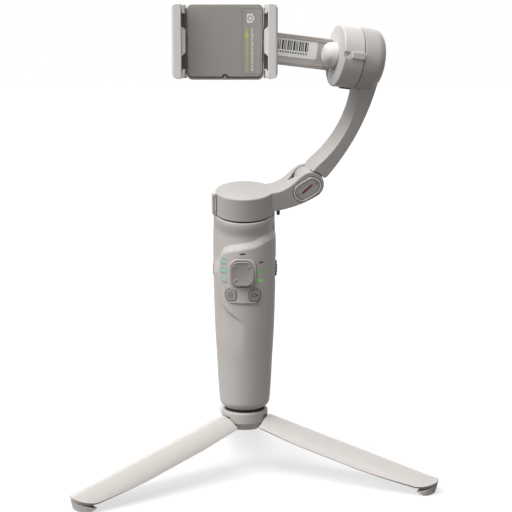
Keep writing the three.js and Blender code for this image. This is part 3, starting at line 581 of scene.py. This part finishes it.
# The raised panel's edge and the groove swept below it, as (azimuth, height) on the skin.
PANEL_TOP = [(100, 169.2), (70, 168.3), (52, 167.2), (35, 165.5), (18, 163.0), (0.7, 162.0), (-16, 161.0),
             (-33.2, 159.8), (-43, 158.4), (-50, 155.6)]
PANEL_EDGE = [*PANEL_TOP, (-54.5, 151.5), (-57, 146), (-58, 120)]
PANEL_LEVEL = 163  # the mesh row that is bent to run along the panel's top
PANEL_BAND = 2.1  # half the width of the sloping band along the edge
PANEL_STEP = 2.8
SWEEP_EDGE = [(-57, 133), (-52, 126.5), (-46, 121.5), (-36, 117.8), (-26, 115.4), (-12.4, 112.1), (4, 108)]
SWEEP_STEP = 1.3


def smooth_step(value, low, high):
    t = np.clip((value - low) / (high - low), 0, 1)
    return t * t * (3 - 2 * t)


def curve_through(x, xs, ys):
    """A smooth curve through the given points, evaluated at x."""
    xs, ys = np.array(xs, float), np.array(ys, float)
    slopes = np.gradient(ys, xs)
    x = np.clip(x, xs[0], xs[-1])
    i = np.clip(np.searchsorted(xs, x) - 1, 0, len(xs) - 2)
    width = xs[i + 1] - xs[i]
    t = (x - xs[i]) / width
    start = (2 * t**3 - 3 * t**2 + 1) * ys[i] + (t**3 - 2 * t**2 + t) * width * slopes[i]
    end = (3 * t**2 - 2 * t**3) * ys[i + 1] + (t**3 - t**2) * width * slopes[i + 1]
    return start + end


def side_of(line, azimuth, height):
    """Signed distance in millimetres from a line on the skin; positive to the right of its direction."""
    per_degree = math.radians(SKIN_RADIUS)
    px, py = azimuth * per_degree, height
    best = np.full(np.shape(azimuth), 1e9)
    sign = np.zeros(np.shape(azimuth))
    for (a0, z0), (a1, z1) in zip(line, line[1:]):
        x0, x1 = a0 * per_degree, a1 * per_degree
        dx, dz = x1 - x0, z1 - z0
        t = np.clip(((px - x0) * dx + (py - z0) * dz) / (dx * dx + dz * dz), 0, 1)
        away = np.hypot(px - x0 - t * dx, py - z0 - t * dz)
        cross = (px - x0) * dz - (py - z0) * dx
        nearer = away < best
        best = np.where(nearer, away, best)
        sign = np.where(nearer, np.sign(cross), sign)
    return best * sign


def skin_offset(azimuth, height, top):
    """How far the moulded skin lies inside the handle's plain turned form."""
    outside = side_of(PANEL_EDGE, azimuth, height)
    ramp = np.clip((outside + PANEL_BAND) / (2 * PANEL_BAND), 0, 1)
    fade = smooth_step(azimuth, -95, -66) * (1 - smooth_step(azimuth, 88, 103))
    fade = fade * smooth_step(height, 141, 153) * (1 - 0.7 * smooth_step(height, top - 11, top - 1.5))
    step = PANEL_STEP * ramp * fade
    below = side_of(SWEEP_EDGE, azimuth, height)
    ramp = smooth_step(below, -0.2, 1.2) * (1 - smooth_step(below, 3, 26))
    fade = smooth_step(azimuth, -66, -50) * (1 - smooth_step(azimuth, -22, 2))
    return step + SWEEP_STEP * ramp * fade


def follow_panel(azimuths, height):
    """The height of a row of mesh points, bent so that the rows run along the panel's edge."""
    edge = np.interp(azimuths, *zip(*sorted(PANEL_TOP)))
    return height + smooth_step(height, 138, 157) * (edge - PANEL_LEVEL)


def handle_body(name):
    """The handle's shell as one turned wall with the moulded panel in its front."""
    azimuths = np.concatenate([np.arange(-180, -80, 4.0), np.arange(-80, 104, 1.0), np.arange(104, 180, 4.0)])
    bottom, bore, flat, corner, corner_top, wall, mouth, lip = GRIP.values()
    heights, radii = zip(*GRIP_SIDE)
    lean = math.tan(math.radians(PAN_TILT))
    top = RIM - 21.2 * np.cos(np.radians(azimuths)) * lean

    def level(radius, height):
        return np.full(azimuths.shape, radius), np.full(azimuths.shape, height)

    outer = [level(bore, bottom), level(flat, bottom)]
    for t in np.linspace(0, math.pi / 2, 9)[1:-1]:
        drop = (corner_top - bottom) * math.cos(t)
        outer.append(level(flat + corner * math.sin(t), corner_top - drop))
    skin_rows = [follow_panel(azimuths, z) for z in (*np.arange(51, 84, 3.0), *np.arange(84, 170.1, 0.7))]
    last = skin_rows[-1]
    skin_rows += [last * (1 - t) + (top - lip) * t for t in np.linspace(0, 1, 14)[1:]]
    for z in skin_rows:
        outer.append((curve_through(z, heights, radii) - skin_offset(azimuths, z, top), z))
    rim_radius = outer[-1][0]
    for t in np.linspace(0, math.pi / 2, 5)[1:]:
        outer.append((rim_radius - lip * (1 - math.cos(t)), top - lip + lip * math.sin(t)))
    rim = np.full(azimuths.shape, mouth)
    inner = [(rim, top), (rim, top - 4)]
    for z, thick in ((168, 3.5), (152, 3.5), *((z, wall) for z in (125, 101.5, 78.5, 63.5, 53))):
        inner.append(level(float(curve_through(z, heights, radii)) - thick, z))
    inner += [level(flat, bottom + 2), level(bore, bottom + 2)]
    a = np.radians(azimuths)
    rings = [list(zip(r * np.sin(a), -r * np.cos(a), z)) for r, z in outer + inner]
    return loft(name, rings, HANDLE, ringed=True)


def skin_tool(outline, azimuth, height, near=14):
    return prism("tool", outline, near, FAR, skin_frame(azimuth, height), 0)


def handle_shells():
    azimuth, height = CONTROLS["azimuth"], CONTROLS["height"]
    front = handle_body("handle_front_skin")
    rear = handle_body("handle_rear_skin")
    openings = [
        skin_tool(rectangle(19.2, 20, 6.7), azimuth, height),
        skin_tool(rectangle(25, 10.8, 5.3), azimuth, height + KEYS["drop"]),
        skin_tool(rectangle(4, 1.1, 0.5), azimuth, height + 12.8),
    ]
    for turn_by, windows in ((LEFT_LIGHTS, [STATUS_WINDOW] * 3), (RIGHT_LIGHTS, BATTERY_WINDOWS)):
        for i, (width, tall) in enumerate(windows):
            hole = rectangle(width + 0.2, tall + 0.2, 0.5, 4)
            openings.append(skin_tool(hole, azimuth + turn_by, height + LIGHT_RISE + (i - 1) * LIGHT_PITCH))
    sides = [
        (rectangle(7, 17.6, 1.5), 90, SLIDER_HEIGHT),
        (rectangle(4.6, 9.6, 2.1), -90, POWER_HEIGHT),
        (rectangle(4, 9.6, 1.9), *SOCKET),
    ]
    for shell, half in ((front, (-0.15, FAR)), (rear, (-FAR, 0.15))):
        cutters = [block("half", -FAR, FAR, *half, 0, 4 * FAR, HANDLE)]
        cutters += [skin_tool(outline, a, z) for outline, a, z in sides]
        cut(shell, *cutters, *(openings if shell is front else []))
    ready(front, "handle", SHELL, ["handle_front_shell"], sharp=42)
    ready(rear, "handle", SHELL, ["handle_rear_shell"], sharp=42)


def joystick():
    face = skin_frame(CONTROLS["azimuth"], CONTROLS["height"])
    outer = rectangle(18.8, 19.6, 6.5, 12)
    hole = circle(5.6, len(outer), -90)
    layers = [(0, 19.4), (0, 21.3), (0.02, 21.6), (0.06, 21.85), (0.12, 21.9), (0.2, 21.7), (0.3, 21.1),
              (0.55, 20.5), (0.97, 20.3), (1, 20.1), (1, 19.4)]
    rings = []
    for share, z in layers:
        rings.append([(x + (u - x) * share, y + (v - y) * share, z) for (x, y), (u, v) in zip(outer, hole)])
    surround = loft("joystick_surround_skin", rings, face, ringed=True)
    ready(surround, "handle", SHELL, ["joystick_surround"])
    outline = rectangle(15.8, 16.6, 5.5, 24)
    rings = [[(x, y, 23.5) for x, y in inset(outline, 0.8)], [(x, y, 23.7) for x, y in inset(outline, 0.25)],
             [(x, y, 24.2) for x, y in outline], [(x, y, 24.9) for x, y in outline]]
    for t in np.linspace(0, math.pi / 2, 6)[1:]:
        rings.append([(x, y, 24.9 + 0.6 * math.sin(t)) for x, y in inset(outline, 0.6 * (1 - math.cos(t)))])
    crest = inset(outline, 0.6)
    for share in np.linspace(1, 0.02, 44)[1:]:
        ring = []
        for x, y in crest:
            x, y = x * share, y * share
            dish = 25.5 - 0.85 * (1 - share**2) ** 0.8
            along, across = (abs(x) + abs(y)) / math.sqrt(2), (abs(x) - abs(y)) / math.sqrt(2)
            ridge = smooth_step(along, 5.0, 5.4) * (1 - smooth_step(along, 7.3, 7.8))
            ridge *= 1 - smooth_step(abs(across), 0.25, 0.55)
            ring.append((x, y, dish + 0.4 * ridge))
        rings.append(ring)
    cap = loft("joystick_skin", rings, face)
    stem = rod("stem", 1.8, 16.3, 24.2, face, 0.2)
    ready(union(cap, stem), "joystick_stick", KEY, ["joystick_stick"], sharp=50)


def ring_outlines(outline, inside):
    """The band between two closed outlines, as two halves that each are a simple outline."""
    half = len(outline) // 2
    first = outline[: half + 1] + inside[: half + 1][::-1]
    second = outline[half:] + outline[:1] + inside[:1] + inside[half:][::-1]
    return [first, second]


def push_keys():
    azimuth, height = CONTROLS["azimuth"], CONTROLS["height"] + KEYS["drop"]
    face = skin_frame(azimuth, height)
    low, high = height - 15, height + 15
    tube = lathe("tube", [(19.4, low), (22.1, low), (22.1, high), (19.4, high)], HANDLE, 160, True)
    bezel = prism("bezel_skin", stadium(24.6, 10.4), 10, FAR, face, 0)
    hole = rectangle(8.8, 8.8, 3.1)
    holes = [skin_tool(hole, azimuth + side * KEYS["spread"], height, 10) for side in (-1, 1)]
    common(bezel, tube)
    cut(bezel, *holes)
    ready(bezel, "handle", SHELL, ["button_bezel"], bevel=0.4)
    marks = {
        "mode": [*ring_outlines(circle(1.75, 32), circle(1.4, 32)), rectangle(0.9, 0.9, 0.4, 4)],
        "record": [
            *ring_outlines(*[[(x - 0.5, y) for x, y in inset(rectangle(3, 2.4, 0.5), d)] for d in (0, 0.35)]),
            [(1.3, -0.5), (2.2, -1.0), (2.2, 1.0), (1.3, 0.5)],
        ],
    }
    for name, side in (("mode", -1), ("record", 1)):
        place = skin_frame(azimuth + side * KEYS["spread"], height)
        outline = rectangle(KEYS["size"], KEYS["size"], KEYS["corner"], 8)
        key = prism(f"{name}_button_skin", outline, 18.2, 22.2, place, 0.5, 5, 0.1)
        key.data.materials.append(KEY)
        key.data.materials.append(INK)
        cutters = [prism("line", mark, 22, 23, place, 0) for mark in marks[name]]
        for cutter in cutters:
            cutter.data.materials.append(INK)
        cut(key, *cutters)
        ready(key, f"{name}_button", None, [f"{name}_button"])


def light_windows():
    azimuth, height = CONTROLS["azimuth"], CONTROLS["height"] + LIGHT_RISE
    for i in (-1, 0, 1):
        status_window(i, skin_frame(azimuth + LEFT_LIGHTS, height + i * LIGHT_PITCH))
        place = skin_frame(azimuth + RIGHT_LIGHTS, height + i * LIGHT_PITCH)
        outline = rectangle(*BATTERY_WINDOWS[i + 1], 0.35, 4)
        window = prism(f"battery_window_{i + 1}", outline, 17.5, 21.4, place, 0.2)
        paint = (GREEN, DIM_GREEN, BLACK)[i + 1]
        ready(window, "handle", paint, [] if i else ["battery_light_pipe"])


def status_window(i, place):
    """A pale window with a lit ring and three small marks under it."""
    width, tall = STATUS_WINDOW
    window = prism(f"status_window_{i + 1}", rectangle(width, tall, 0.4, 4), 17.5, 21.35, place, 0.15)
    ready(window, "handle", MILKY, [] if i else ["status_light_pipe"])
    outer, inner = ([(x, y + 0.6) for x, y in rectangle(*size, 0.6)] for size in ((3.1, 1.9), (1.2, 0.9)))
    symbol = joined(*[prism("symbol", part, 21.2, 21.4, place, 0) for part in ring_outlines(outer, inner)])
    ready(symbol, "handle", TEAL).name = f"status_symbol_{i + 1}"
    bars = []
    for across in (-1.4, 0, 1.4):
        outline = [(x + across, y - 1.4) for x, y in rectangle(0.9, 0.5, 0.15, 3)]
        bars.append(prism("bar", outline, 21.2, 21.4, place, 0))
    ready(joined(*bars), "handle", TEAL_DARK).name = f"status_marks_{i + 1}"


def side_controls():
    place = skin_frame(90, SLIDER_HEIGHT)
    knob = prism("zoom_slider_skin", rectangle(6, 11, 1.6, 8), 17.7, 21.7, place, 0.3)
    shoe = block("shoe", -4, 4, -10.2, 10.2, 17.2, 18.4, place)
    ribs = []
    for i in range(-2, 3):
        outline = [(x, y + i * 2.1) for x, y in rectangle(5.4, 1.1, 0.4, 4)]
        ribs.append(prism("rib", outline, 20, 22.7 - 0.08 * i * i, place, 0.35))
    ready(union(knob, shoe, *ribs), "zoom_slider", BLACK, ["zoom_slider"])
    key = prism("power_button_skin", rectangle(4, 9, 1.9, 10), 17.5, 22, skin_frame(-90, POWER_HEIGHT), 0.45)
    ready(key, "power_button", SHELL, ["power_button"])
    place = skin_frame(*SOCKET)
    socket = prism("usb_socket_skin", rectangle(3.4, 9, 1.6, 8), 14.5, 20.9, place, 0.2)
    cut(socket, prism("mouth", rectangle(2.4, 8, 1.1, 8), 15.5, FAR, place, 0))
    tongue = block("tongue", -0.35, 0.35, -3.2, 3.2, 15.2, 20, place, 0.1)
    ready(union(socket, tongue), "handle", BLACK, ["usb_socket"])


# -------- lower arm


def circle_point(x, z, radius, degrees):
    return (x + radius * math.cos(math.radians(degrees)), z + radius * math.sin(math.radians(degrees)))


def hinge_rod(name, radius, half):
    return rod(name, radius, -half, half, PAN @ move(HINGE[0], 0, HINGE[1]) @ turn(90, "X"), sides=96)


def badge_place():
    return PAN @ move(BADGE["x"], 0, BADGE["z"]) @ turn(-BADGE["angle"], "Y")


def lower_arm():
    radius, top = HOUSING["radius"], HOUSING["top"]
    profile = rounded([(0.2, 3, 0), (radius, 0.6, 0.3), (radius, top, 0.9), (0.2, top, 0)], 8, False)
    housing = lathe("lower_arm_skin", profile, PAN, 160)
    low, high = -70, 125  # where the round cheek leaves the arm's lower and upper edges
    outline = [
        (8, 3),
        *bezier((18, 3), (30, 4), (40, 7.2), circle_point(*HINGE, CHEEK, low), 14),
        *arc(*HINGE, CHEEK, low, high, 30)[1:],
        *bezier(circle_point(*HINGE, CHEEK, high), (33, 24), (28, 17), (18, top), 14)[1:],
        (8, top),
    ]
    body = union(housing, slab("arm", outline, -ARM_HALF, ARM_HALF, PAN, 0.8, 5))
    recess = stadium(BADGE["length"] + 0.6, BADGE["height"] + 0.6)
    cut(
        body,
        rod("bore", MOTOR_BORE, -FAR, 13.5, PAN, 0, 96),
        hinge_rod("fork", CHEEK + 0.5, FORK_HALF),
        hinge_rod("pin", PIN_BORE, 8.8),
        slab("pocket", recess, -FAR, BADGE["depth"] - ARM_HALF, badge_place(), 0),
        prism("fork_lead", [(30, 0.5), (36, -4), (36, 5)], 15.8, FAR, PAN, 0),
        rod("peg_hole", 1.5, -FAR, 4, PAN @ move(PEG_X, 0, 0), 0, 32),
    )
    ready(body, "pan_head", SHELL, ["lower_arm"], bevel=0.18)
    tab = block("stow_catch_skin", -22.4, -21.2, -2.6, 2.6, 0.8, 15.4, PAN, 0.45)
    bridge = block("bridge", -21.6, -20.25, -2.4, 2.4, 13.5, 15.2, PAN, 0.3)
    rib = block("rib", -21.6, -20.25, 1.2, 2.4, 0.8, 15.2, PAN, 0.2)
    ready(union(tab, bridge, rib), "pan_head", SHELL, ["stow_catch"])
    peg = rod("pan_stop_peg_skin", 1.2, -3.2, 3.6, PAN @ move(PEG_X, 0, 0), 0.35, 32)
    ready(peg, "pan_head", BLACK, ["pan_stop_peg"])


def hinge_badge():
    place = badge_place() @ STANDING
    front = ARM_HALF + BADGE["proud"]
    back = ARM_HALF - BADGE["depth"] + GAP
    trim = BADGE["trim"]
    outline = stadium(BADGE["length"], BADGE["height"])
    profile = rounded([(0, back, 0), (0, front, 0.7), (trim, front, 0.4), (trim, back, 0)], 6)
    rings = [[(x, y, z) for x, y in inset(outline, depth)] for depth, z in profile]
    trim_ring = loft("badge_trim_skin", rings, place, ringed=True)
    ready(trim_ring, "pan_head", CHROME, ["badge_trim_ring"], 60)
    rim = inset(outline, trim + 0.15)
    tilt = Matrix.Rotation(math.radians(10), 2)
    slit = [tuple(tilt @ Vector(point)) for point in stadium(9.6, 1.9)]
    layers = [(rim, back), (rim, front - 0.7), (inset(rim, 0.1), front - 0.5),
              (inset(rim, 0.35), front - 0.4), (slit, front - 0.4), (slit, front - 1)]
    face = loft("badge_face_skin", [[(x, y, z) for x, y in line] for line, z in layers], place)
    ready(face, "pan_head", SHELL, ["hinge_badge"])
    floor = prism("badge_slit", inset(slit, 0.05), front - 1.05, front - 0.85, place, 0)
    ready(floor, "pan_head", RED)


# -------- upper arm


def beam_outline():
    inner_low, inner_high, outer_low, outer_high = -51, -7, -41.5, -13
    return [
        (HINGE[0], HINGE[1] + 2),
        (HINGE[0] + 9.4, HINGE[1] + 4.4),
        *arc(-59.8, 127.1, 153.8, outer_low, outer_high, 40),
        (82, 100),
        *arc(3.3, 91.3, 73.2, inner_high, inner_low, 40),
        (HINGE[0] - 1, HINGE[1] + 8),
    ]


def drum_profile():
    radius, end, seam = TILT["radius"], TILT["end"], TILT["seam"] - 0.5
    return rounded([(0.2, end, 0), (radius, end, 7), (radius, seam, 0.5), (0.2, seam, 0)], 14, False)


def upper_arm():
    end, seam = TILT["end"], TILT["seam"]
    wide = slab("upper_arm_skin", beam_outline(), -ARM_HALF, ARM_HALF, PAN, 0.7, 4)
    cut(wide, hinge_rod("root", CHEEK + 0.8, FAR))
    narrow = slab("narrow", beam_outline(), -KNUCKLE_HALF, KNUCKLE_HALF, PAN, 0)
    drum = lathe("drum", drum_profile(), TILT_FRAME, 160)
    union(wide, narrow, hinge_rod("knuckle", CHEEK - 0.5, KNUCKLE_HALF), drum)
    floor, mouth, post = end + 4, seam + 1, 6.1
    ring = [(post, floor), (MOTOR_BORE, floor), (MOTOR_BORE, mouth), (post, mouth)]
    cut(
        wide,
        lathe("cavity", ring, TILT_FRAME, 96, True),
        rod("well", 5.3, floor, 0, TILT_FRAME),
        hinge_rod("pin", PIN_BORE, FAR),
    )
    ready(wide, "upper_arm", SHELL, ["upper_arm"], sharp=24)


# -------- tilt rotor and bar


def tilt_head():
    radius, seam = TILT["radius"], TILT["seam"]
    bore = MOTOR_BORE
    profile = rounded(
        [(0.2, -3, 0), (bore, -3, 0), (bore, seam, 0), (radius, seam, 0.5), (radius, 0, 1.0), (0.2, 0, 0)],
        8, False)
    rotor = lathe("tilt_rotor_skin", profile, HEAD, 160)
    tab = block("tab", -1, 3.3, -radius - 1.4, -radius + 1.4, seam, -5, HEAD, 0.4)
    union(rotor, tab)
    cut(
        rotor,
        block("pocket", -FAR, -radius + 1, -3.2, 3.2, seam + 0.6, -5.8, HEAD),
        block("notch", -1.3, 3.1, -radius - 2, -radius + 1.9, -3.4, 2, HEAD),
    )
    ready(rotor, "tilt_head", SHELL_PAINTED_HALF_LIGHT, ["tilt_rotor_housing"], bevel=0.15)
    bumper = block("tilt_bumper_skin", -radius - 0.8, -radius + 0.7, -2.9, 2.9, seam + 0.9, -6.1, HEAD, 0.35)
    ready(bumper, "tilt_head", BLACK, ["tilt_stop_bumper"])


def bar_body(name, grow=0.0, edge=0.6):
    half = BAR["half_height"] + grow
    outline = [(half, GAP), *arc(0, BAR["length"], half, 0, 180, 40), (-half, GAP)]
    return slab(name, outline, BAR["front"] - grow, BAR["back"] + grow, HEAD, edge)


def clamp_bar():
    bar = bar_body("clamp_bar_skin")
    half, end, floor = BAR["recess"], BAR["recess_end"], BAR["front"] + 0.6
    recess = [(half, 1), (half, end), (-half, end), (-half, 1)]
    cut(bar, slab("recess", recess, 0, floor, HEAD, 0))
    lines = [block("line", x - 0.25, x + 0.25, 0, 10.35, 1, end, HEAD) for x in (-9.1, 9.1)]
    cut(bar, *lines)
    ready(bar, "tilt_head", SHELL, ["clamp_bar"], bevel=0.15)
    radius, length = BOSS["radius"], BOSS["length"]
    dome = rounded([(0.2, GAP, 0), (radius, GAP, 0), (radius, length, 5.5), (0.2, length, 0)], 12, False)
    ready(lathe("bar_boss", dome, HEAD), "tilt_head", SHELL_PAINTED_LIGHT)
    bar_label(HEAD @ move(1.4, floor + 0.02, 33.5) @ STANDING)


def bar_label(place):
    """A plain label with a row of stripes and a row of dashes, neither of which says anything."""
    label = prism("bar_label", [(x, y - 1.7) for x, y in rectangle(11.8, 44.4, 1.3)], 0, 0.12, place, 0.04)
    ready(label, "tilt_head", LABEL)
    stripes = []
    z = -17.5
    for i in range(24):
        width = (0.5, 1.0, 0.7, 1.3)[(i * 7 + i // 3) % 4]
        stripes.append(block("stripe", -1.5, 4.8, z, z + width, 0.1, 0.16, place))
        z += width + (0.5, 0.8, 0.4)[i % 3]
    for i in range(18):
        z = -17 + i * 1.8
        stripes.append(block("dash", -3.6, -2.4, z, z + 1, 0.1, 0.16, place))
    ready(joined(*stripes), "tilt_head", INK).name = "bar_label_stripes"


# -------- roll motor and clamp


def roll_motor():
    facing = CLAMP @ turn(-90, "X")  # Z becomes Y
    profile = rounded(
        [(13.8, 8.4, 0), (16, 8.4, 0.4), (16, 24, 1.6), (9.4, 24, 0.2), (9.4, 23.6, 0.2), (8.4, 23.6, 0.2),
         (8.4, 24, 0.2), (0.2, 24, 0), (0.2, 16, 0), (2.9, 16, 0), (2.9, 10.8, 0), (4.4, 10.8, 0),
         (4.4, 16, 0), (13.8, 16, 0)], 6)
    cup = lathe("roll_motor_skin", profile, facing, 128, True)
    saddle = bar_body("saddle", GAP, 0)
    ready(cut(cup, saddle), "tilt_head", SHELL, ["roll_motor_housing"], bevel=0.1)


def clamp_base():
    outline = [(x, y - 0.5) for x, y in rectangle(*CLAMP_SIZE, 3.5, 10)]
    base = slab("clamp_base_skin", outline, 2.8, 7.8, CLAMP, 0.7)
    near, far = 4.1, 6.7
    channel = block("channel", -21.3, FAR, near, far, 2.9, 9.3, CLAMP)
    opposite = block("opposite", -FAR, 21.3, near, far, -9.3, -2.9, CLAMP)
    facing = CLAMP @ turn(-90, "X")
    cut(base, channel, opposite, rod("well", 5, near, far, facing), rod("axle", 1.6, 3.3, 7.4, facing))
    ready(base, "clamp", SHELL_PAINTED_LIGHT, ["clamp_base"], bevel=0.12)


def clamp_pad():
    pad = slab("clamp_pad_skin", rectangle(*PAD_SIZE, 3.5, 10), 0, 2.5, CLAMP, 0.45)
    notch = [(-3.4, -23.7), (3.4, -23.7), (0.9, -20.9), (-0.9, -20.9)]
    cut(pad, slab("notch", notch, -1, 3.5, CLAMP, 0))
    ready(pad, "clamp", PAD, ["clamp_pad"], bevel=0.12)
    # A thin black plate behind the pad: painted shade that shows as a dark line in the gap around the pad.
    gap_shade = slab("pad_gap_shade", rectangle(48.9, 46.5, 3.6, 10), 2.52, 2.78, CLAMP, 0.1)
    ready(gap_shade, "clamp", BLACK)
    wedge = [(-1.6, -24.2), (1.6, -24.2), (0.5, -21.6), (-0.5, -21.6)]
    tongue = slab("pad_tongue", wedge, 1.2, 2.5, CLAMP, 0.15)
    ready(tongue, "clamp", SHELL)
    print_on_pad()


def camera_symbol(x, z):
    """A camera lying on its side: a body with a hump, and a round lens."""
    body = rounded(
        [(-2.2, -2.9, 0.7), (1.6, -2.9, 0.7), (1.7, -1.4, 0.2), (2.6, -1, 0.3), (2.6, 1, 0.3),
         (1.7, 1.4, 0.2), (1.6, 2.9, 0.7), (-2.2, 2.9, 0.7)], 4)
    lens = circle(1.75, len(body), -126)
    parts = [*ring_outlines(body, lens), circle(1.05, 24)]
    return [[(u + x, v + z) for u, v in part] for part in parts]


def print_on_pad():
    place = CLAMP @ STANDING
    low, high = -0.1, 0.04

    def mark(outline):
        return prism("mark", outline, low, high, place, 0)

    frame_outline = [(x + 17.05, y) for x, y in rectangle(12.3, 42, 0.6, 3)]
    border = joined(*[mark(part) for part in ring_outlines(frame_outline, inset(frame_outline, 0.25))])
    border.name = "pad_print_frame"
    ready(border, "clamp", FAINT)
    shaft = mark(rectangle(0.7, 22, 0.2, 3))
    shaft.data.transform(place @ move(14.1, -8, 0) @ place.inverted())
    head = mark([(12.9, 2.4), (15.3, 2.4), (14.1, 9.2)])
    arrow = joined(shaft, head)
    arrow.name = "pad_print_arrow"
    ready(arrow, "clamp", ARROW)
    marks = []
    for i in range(20):
        z = -18.6 + i * 1.38
        tall = 1.5 if i % 4 == 0 else 1.0
        marks.append(mark([(16.9, z), (16.9 + tall, z), (16.9 + tall, z + 0.7), (16.9, z + 0.7)]))
    marks += [mark(part) for part in camera_symbol(16.2, 14.6)]
    symbols = joined(*marks)
    symbols.name = "pad_print_symbols"
    ready(symbols, "clamp", PRINT)


def jaw_outline():
    return rounded(
        [(27.6, -9.5, 0.5), (33.8, -9.5, 1.7), (33.8, 7.4, 0.8), (24.8, 7.4, 0.2), (24.8, 4.4, 0),
         (31, 4.4, 0.3), (31, -6.7, 0.5), (27.6, -6.7, 0.4)], 6)


def jaw(side, facing):
    """A jaw on the +X side of its frame: the channel, its end struts, and the toothed tongue behind."""
    rail = prism(f"jaw_{side}_skin", jaw_outline(), -JAW_HALF, JAW_HALF, facing, 0.4)
    face = slab("face", [(x + 10, y) for x, y in rectangle(47.6, 2 * JAW_HALF, 4, 10)], -FAR, FAR, facing, 0)
    common(rail, face)
    struts = []
    for end in (-1, 1):
        strut = [(26, end * 23), (33, end * 23), (33, end * 21.3), (29.6, end * 21.3), (26.4, end * 17.4),
                 (25.4, end * 17.8)]
        struts.append(slab("strut", strut if end < 0 else strut[::-1], -7.4, 5, facing, 0.2))
    teeth = [(25.2, 9), (-21, 9), (-21, 4.8)]
    pitch = 2 * math.pi * PINION["radius"] / PINION["teeth"]
    for i in range(-8, 2):
        x = i * pitch
        teeth += [(x - 0.68, 4.8), (x - 0.3, 3.45), (x + 0.3, 3.45), (x + 0.68, 4.8)]
    teeth.append((25.2, 4.8))
    union(rail, *struts, slab("rack", teeth, 4.4, 6.4, facing, 0))
    ready(rail, f"jaw_{side}", SHELL_PAINTED_LIGHT, [f"jaw_{side}"], bevel=0.2)
    # A thin dark plate on the channel's floor: painted shade for the shadowed channel between the pad and the
    # jaw's front lip.
    channel_shade = block(f"jaw_channel_shade_{side}", 24.9, 30.9, 4.15, 4.45, -21, 21, facing)
    ready(channel_shade, f"jaw_{side}", SHADE)
    pad = rounded(
        [(25.2, -7.3, 0.6), (27.6, -9.3, 0.4), (30.7, -9.3, 0.2), (30.7, 9.3, 0.2), (27.6, 9.3, 0.4),
         (25.2, 7.3, 0.6)], 5)
    body = slab(f"jaw_pad_{side}_skin", pad, -6.4, 4.1, facing, 0.3)
    ready(body, f"jaw_{side}", JAW_PAD, [f"jaw_pad_{side}"])


# -------- assembly

for carried_paint, members in CARRIED:
    for member in members:
        cad_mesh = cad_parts[member].data
        cad_mesh.materials.clear()
        cad_mesh.materials.append(carried_paint)

tripod_hub()
for leg_side, leg_azimuth in LEG_TURNS.items():
    tripod_leg(leg_side, leg_azimuth)
handle_shells()
joystick()
push_keys()
light_windows()
side_controls()
lower_arm()
hinge_badge()
upper_arm()
tilt_head()
clamp_bar()
roll_motor()
clamp_base()
clamp_pad()
jaw("right", CLAMP)
jaw("left", CLAMP @ turn(180, "Y"))

# -------- stage, lights and camera


def floor_plane():
    rim = [(x, y, -0.0002) for x, y in circle(6, 64)]
    sheet = made("studio_floor", rim, [tuple(range(64))], Matrix.Identity(4))
    paint, tree, shader, where = material("studio_white")
    faint = noise(tree, where, 4.0, 2.0)
    tone = blend(tree, faint, (0.34, 0.34, 0.34, 1), (0.36, 0.36, 0.36, 1))
    tree.links.new(tone, shader.inputs["Base Color"])
    shader.inputs["Roughness"].default_value = 0.9
    shader.inputs["Specular IOR Level"].default_value = 0.0
    shader.inputs["Emission Color"].default_value = (1, 1, 1, 1)
    shader.inputs["Emission Strength"].default_value = 0.66
    sheet.data.materials.append(paint)
    sheet.visible_diffuse = False
    sheet.visible_shadow = False


def sun(name, strength, towards, softness, colour=(1, 1, 1)):
    """Even light that comes from the direction towards, with shadows as soft as that many degrees."""
    lamp = bpy.data.lights.new(name, "SUN")
    lamp.energy = strength
    lamp.angle = math.radians(softness)
    lamp.color = colour
    obj = bpy.data.objects.new(name, lamp)
    obj.rotation_mode = "QUATERNION"
    obj.rotation_quaternion = (-Vector(towards)).to_track_quat("-Z", "Y")
    bpy.context.scene.collection.objects.link(obj)


def studio():
    floor_plane()
    world = bpy.data.worlds.new("studio")
    bpy.context.scene.world = world
    world.use_nodes = True
    background = world.node_tree.nodes["Background"]
    background.inputs["Color"].default_value = (1, 1, 1, 1)
    background.inputs["Strength"].default_value = 1.0
    world.cycles_visibility.diffuse = False
    sun("left", 1.9, (-0.8, -0.25, 0.55), 40)
    sun("top", 2.7, (-0.2, -0.33, 0.92), 40)
    sun("front", 0.5, (0.1, -1, 0.2), 60, (1, 0.96, 0.94))
    sun("right", 0.15, (1, -0.35, 0.1), 80, (1, 0.9, 0.86))
    sun("back", 1.0, (0, 1, 0.5), 60)
    sun("bounce", 0.2, (0, -0.1, -1), 120)


def camera():
    lens = bpy.data.cameras.new("camera")
    lens.sensor_width = 36
    lens.lens = CAMERA_LENS
    lens.clip_start, lens.clip_end = 0.02, 20
    obj = bpy.data.objects.new("camera", lens)
    obj.location = HANDLE @ Vector(CAMERA_AT)
    obj.rotation_euler = (math.radians(CAMERA_PITCH), 0, 0)
    bpy.context.scene.collection.objects.link(obj)
    bpy.context.scene.camera = obj


studio()
camera()
bpy.context.scene.view_settings.view_transform = "Standard"
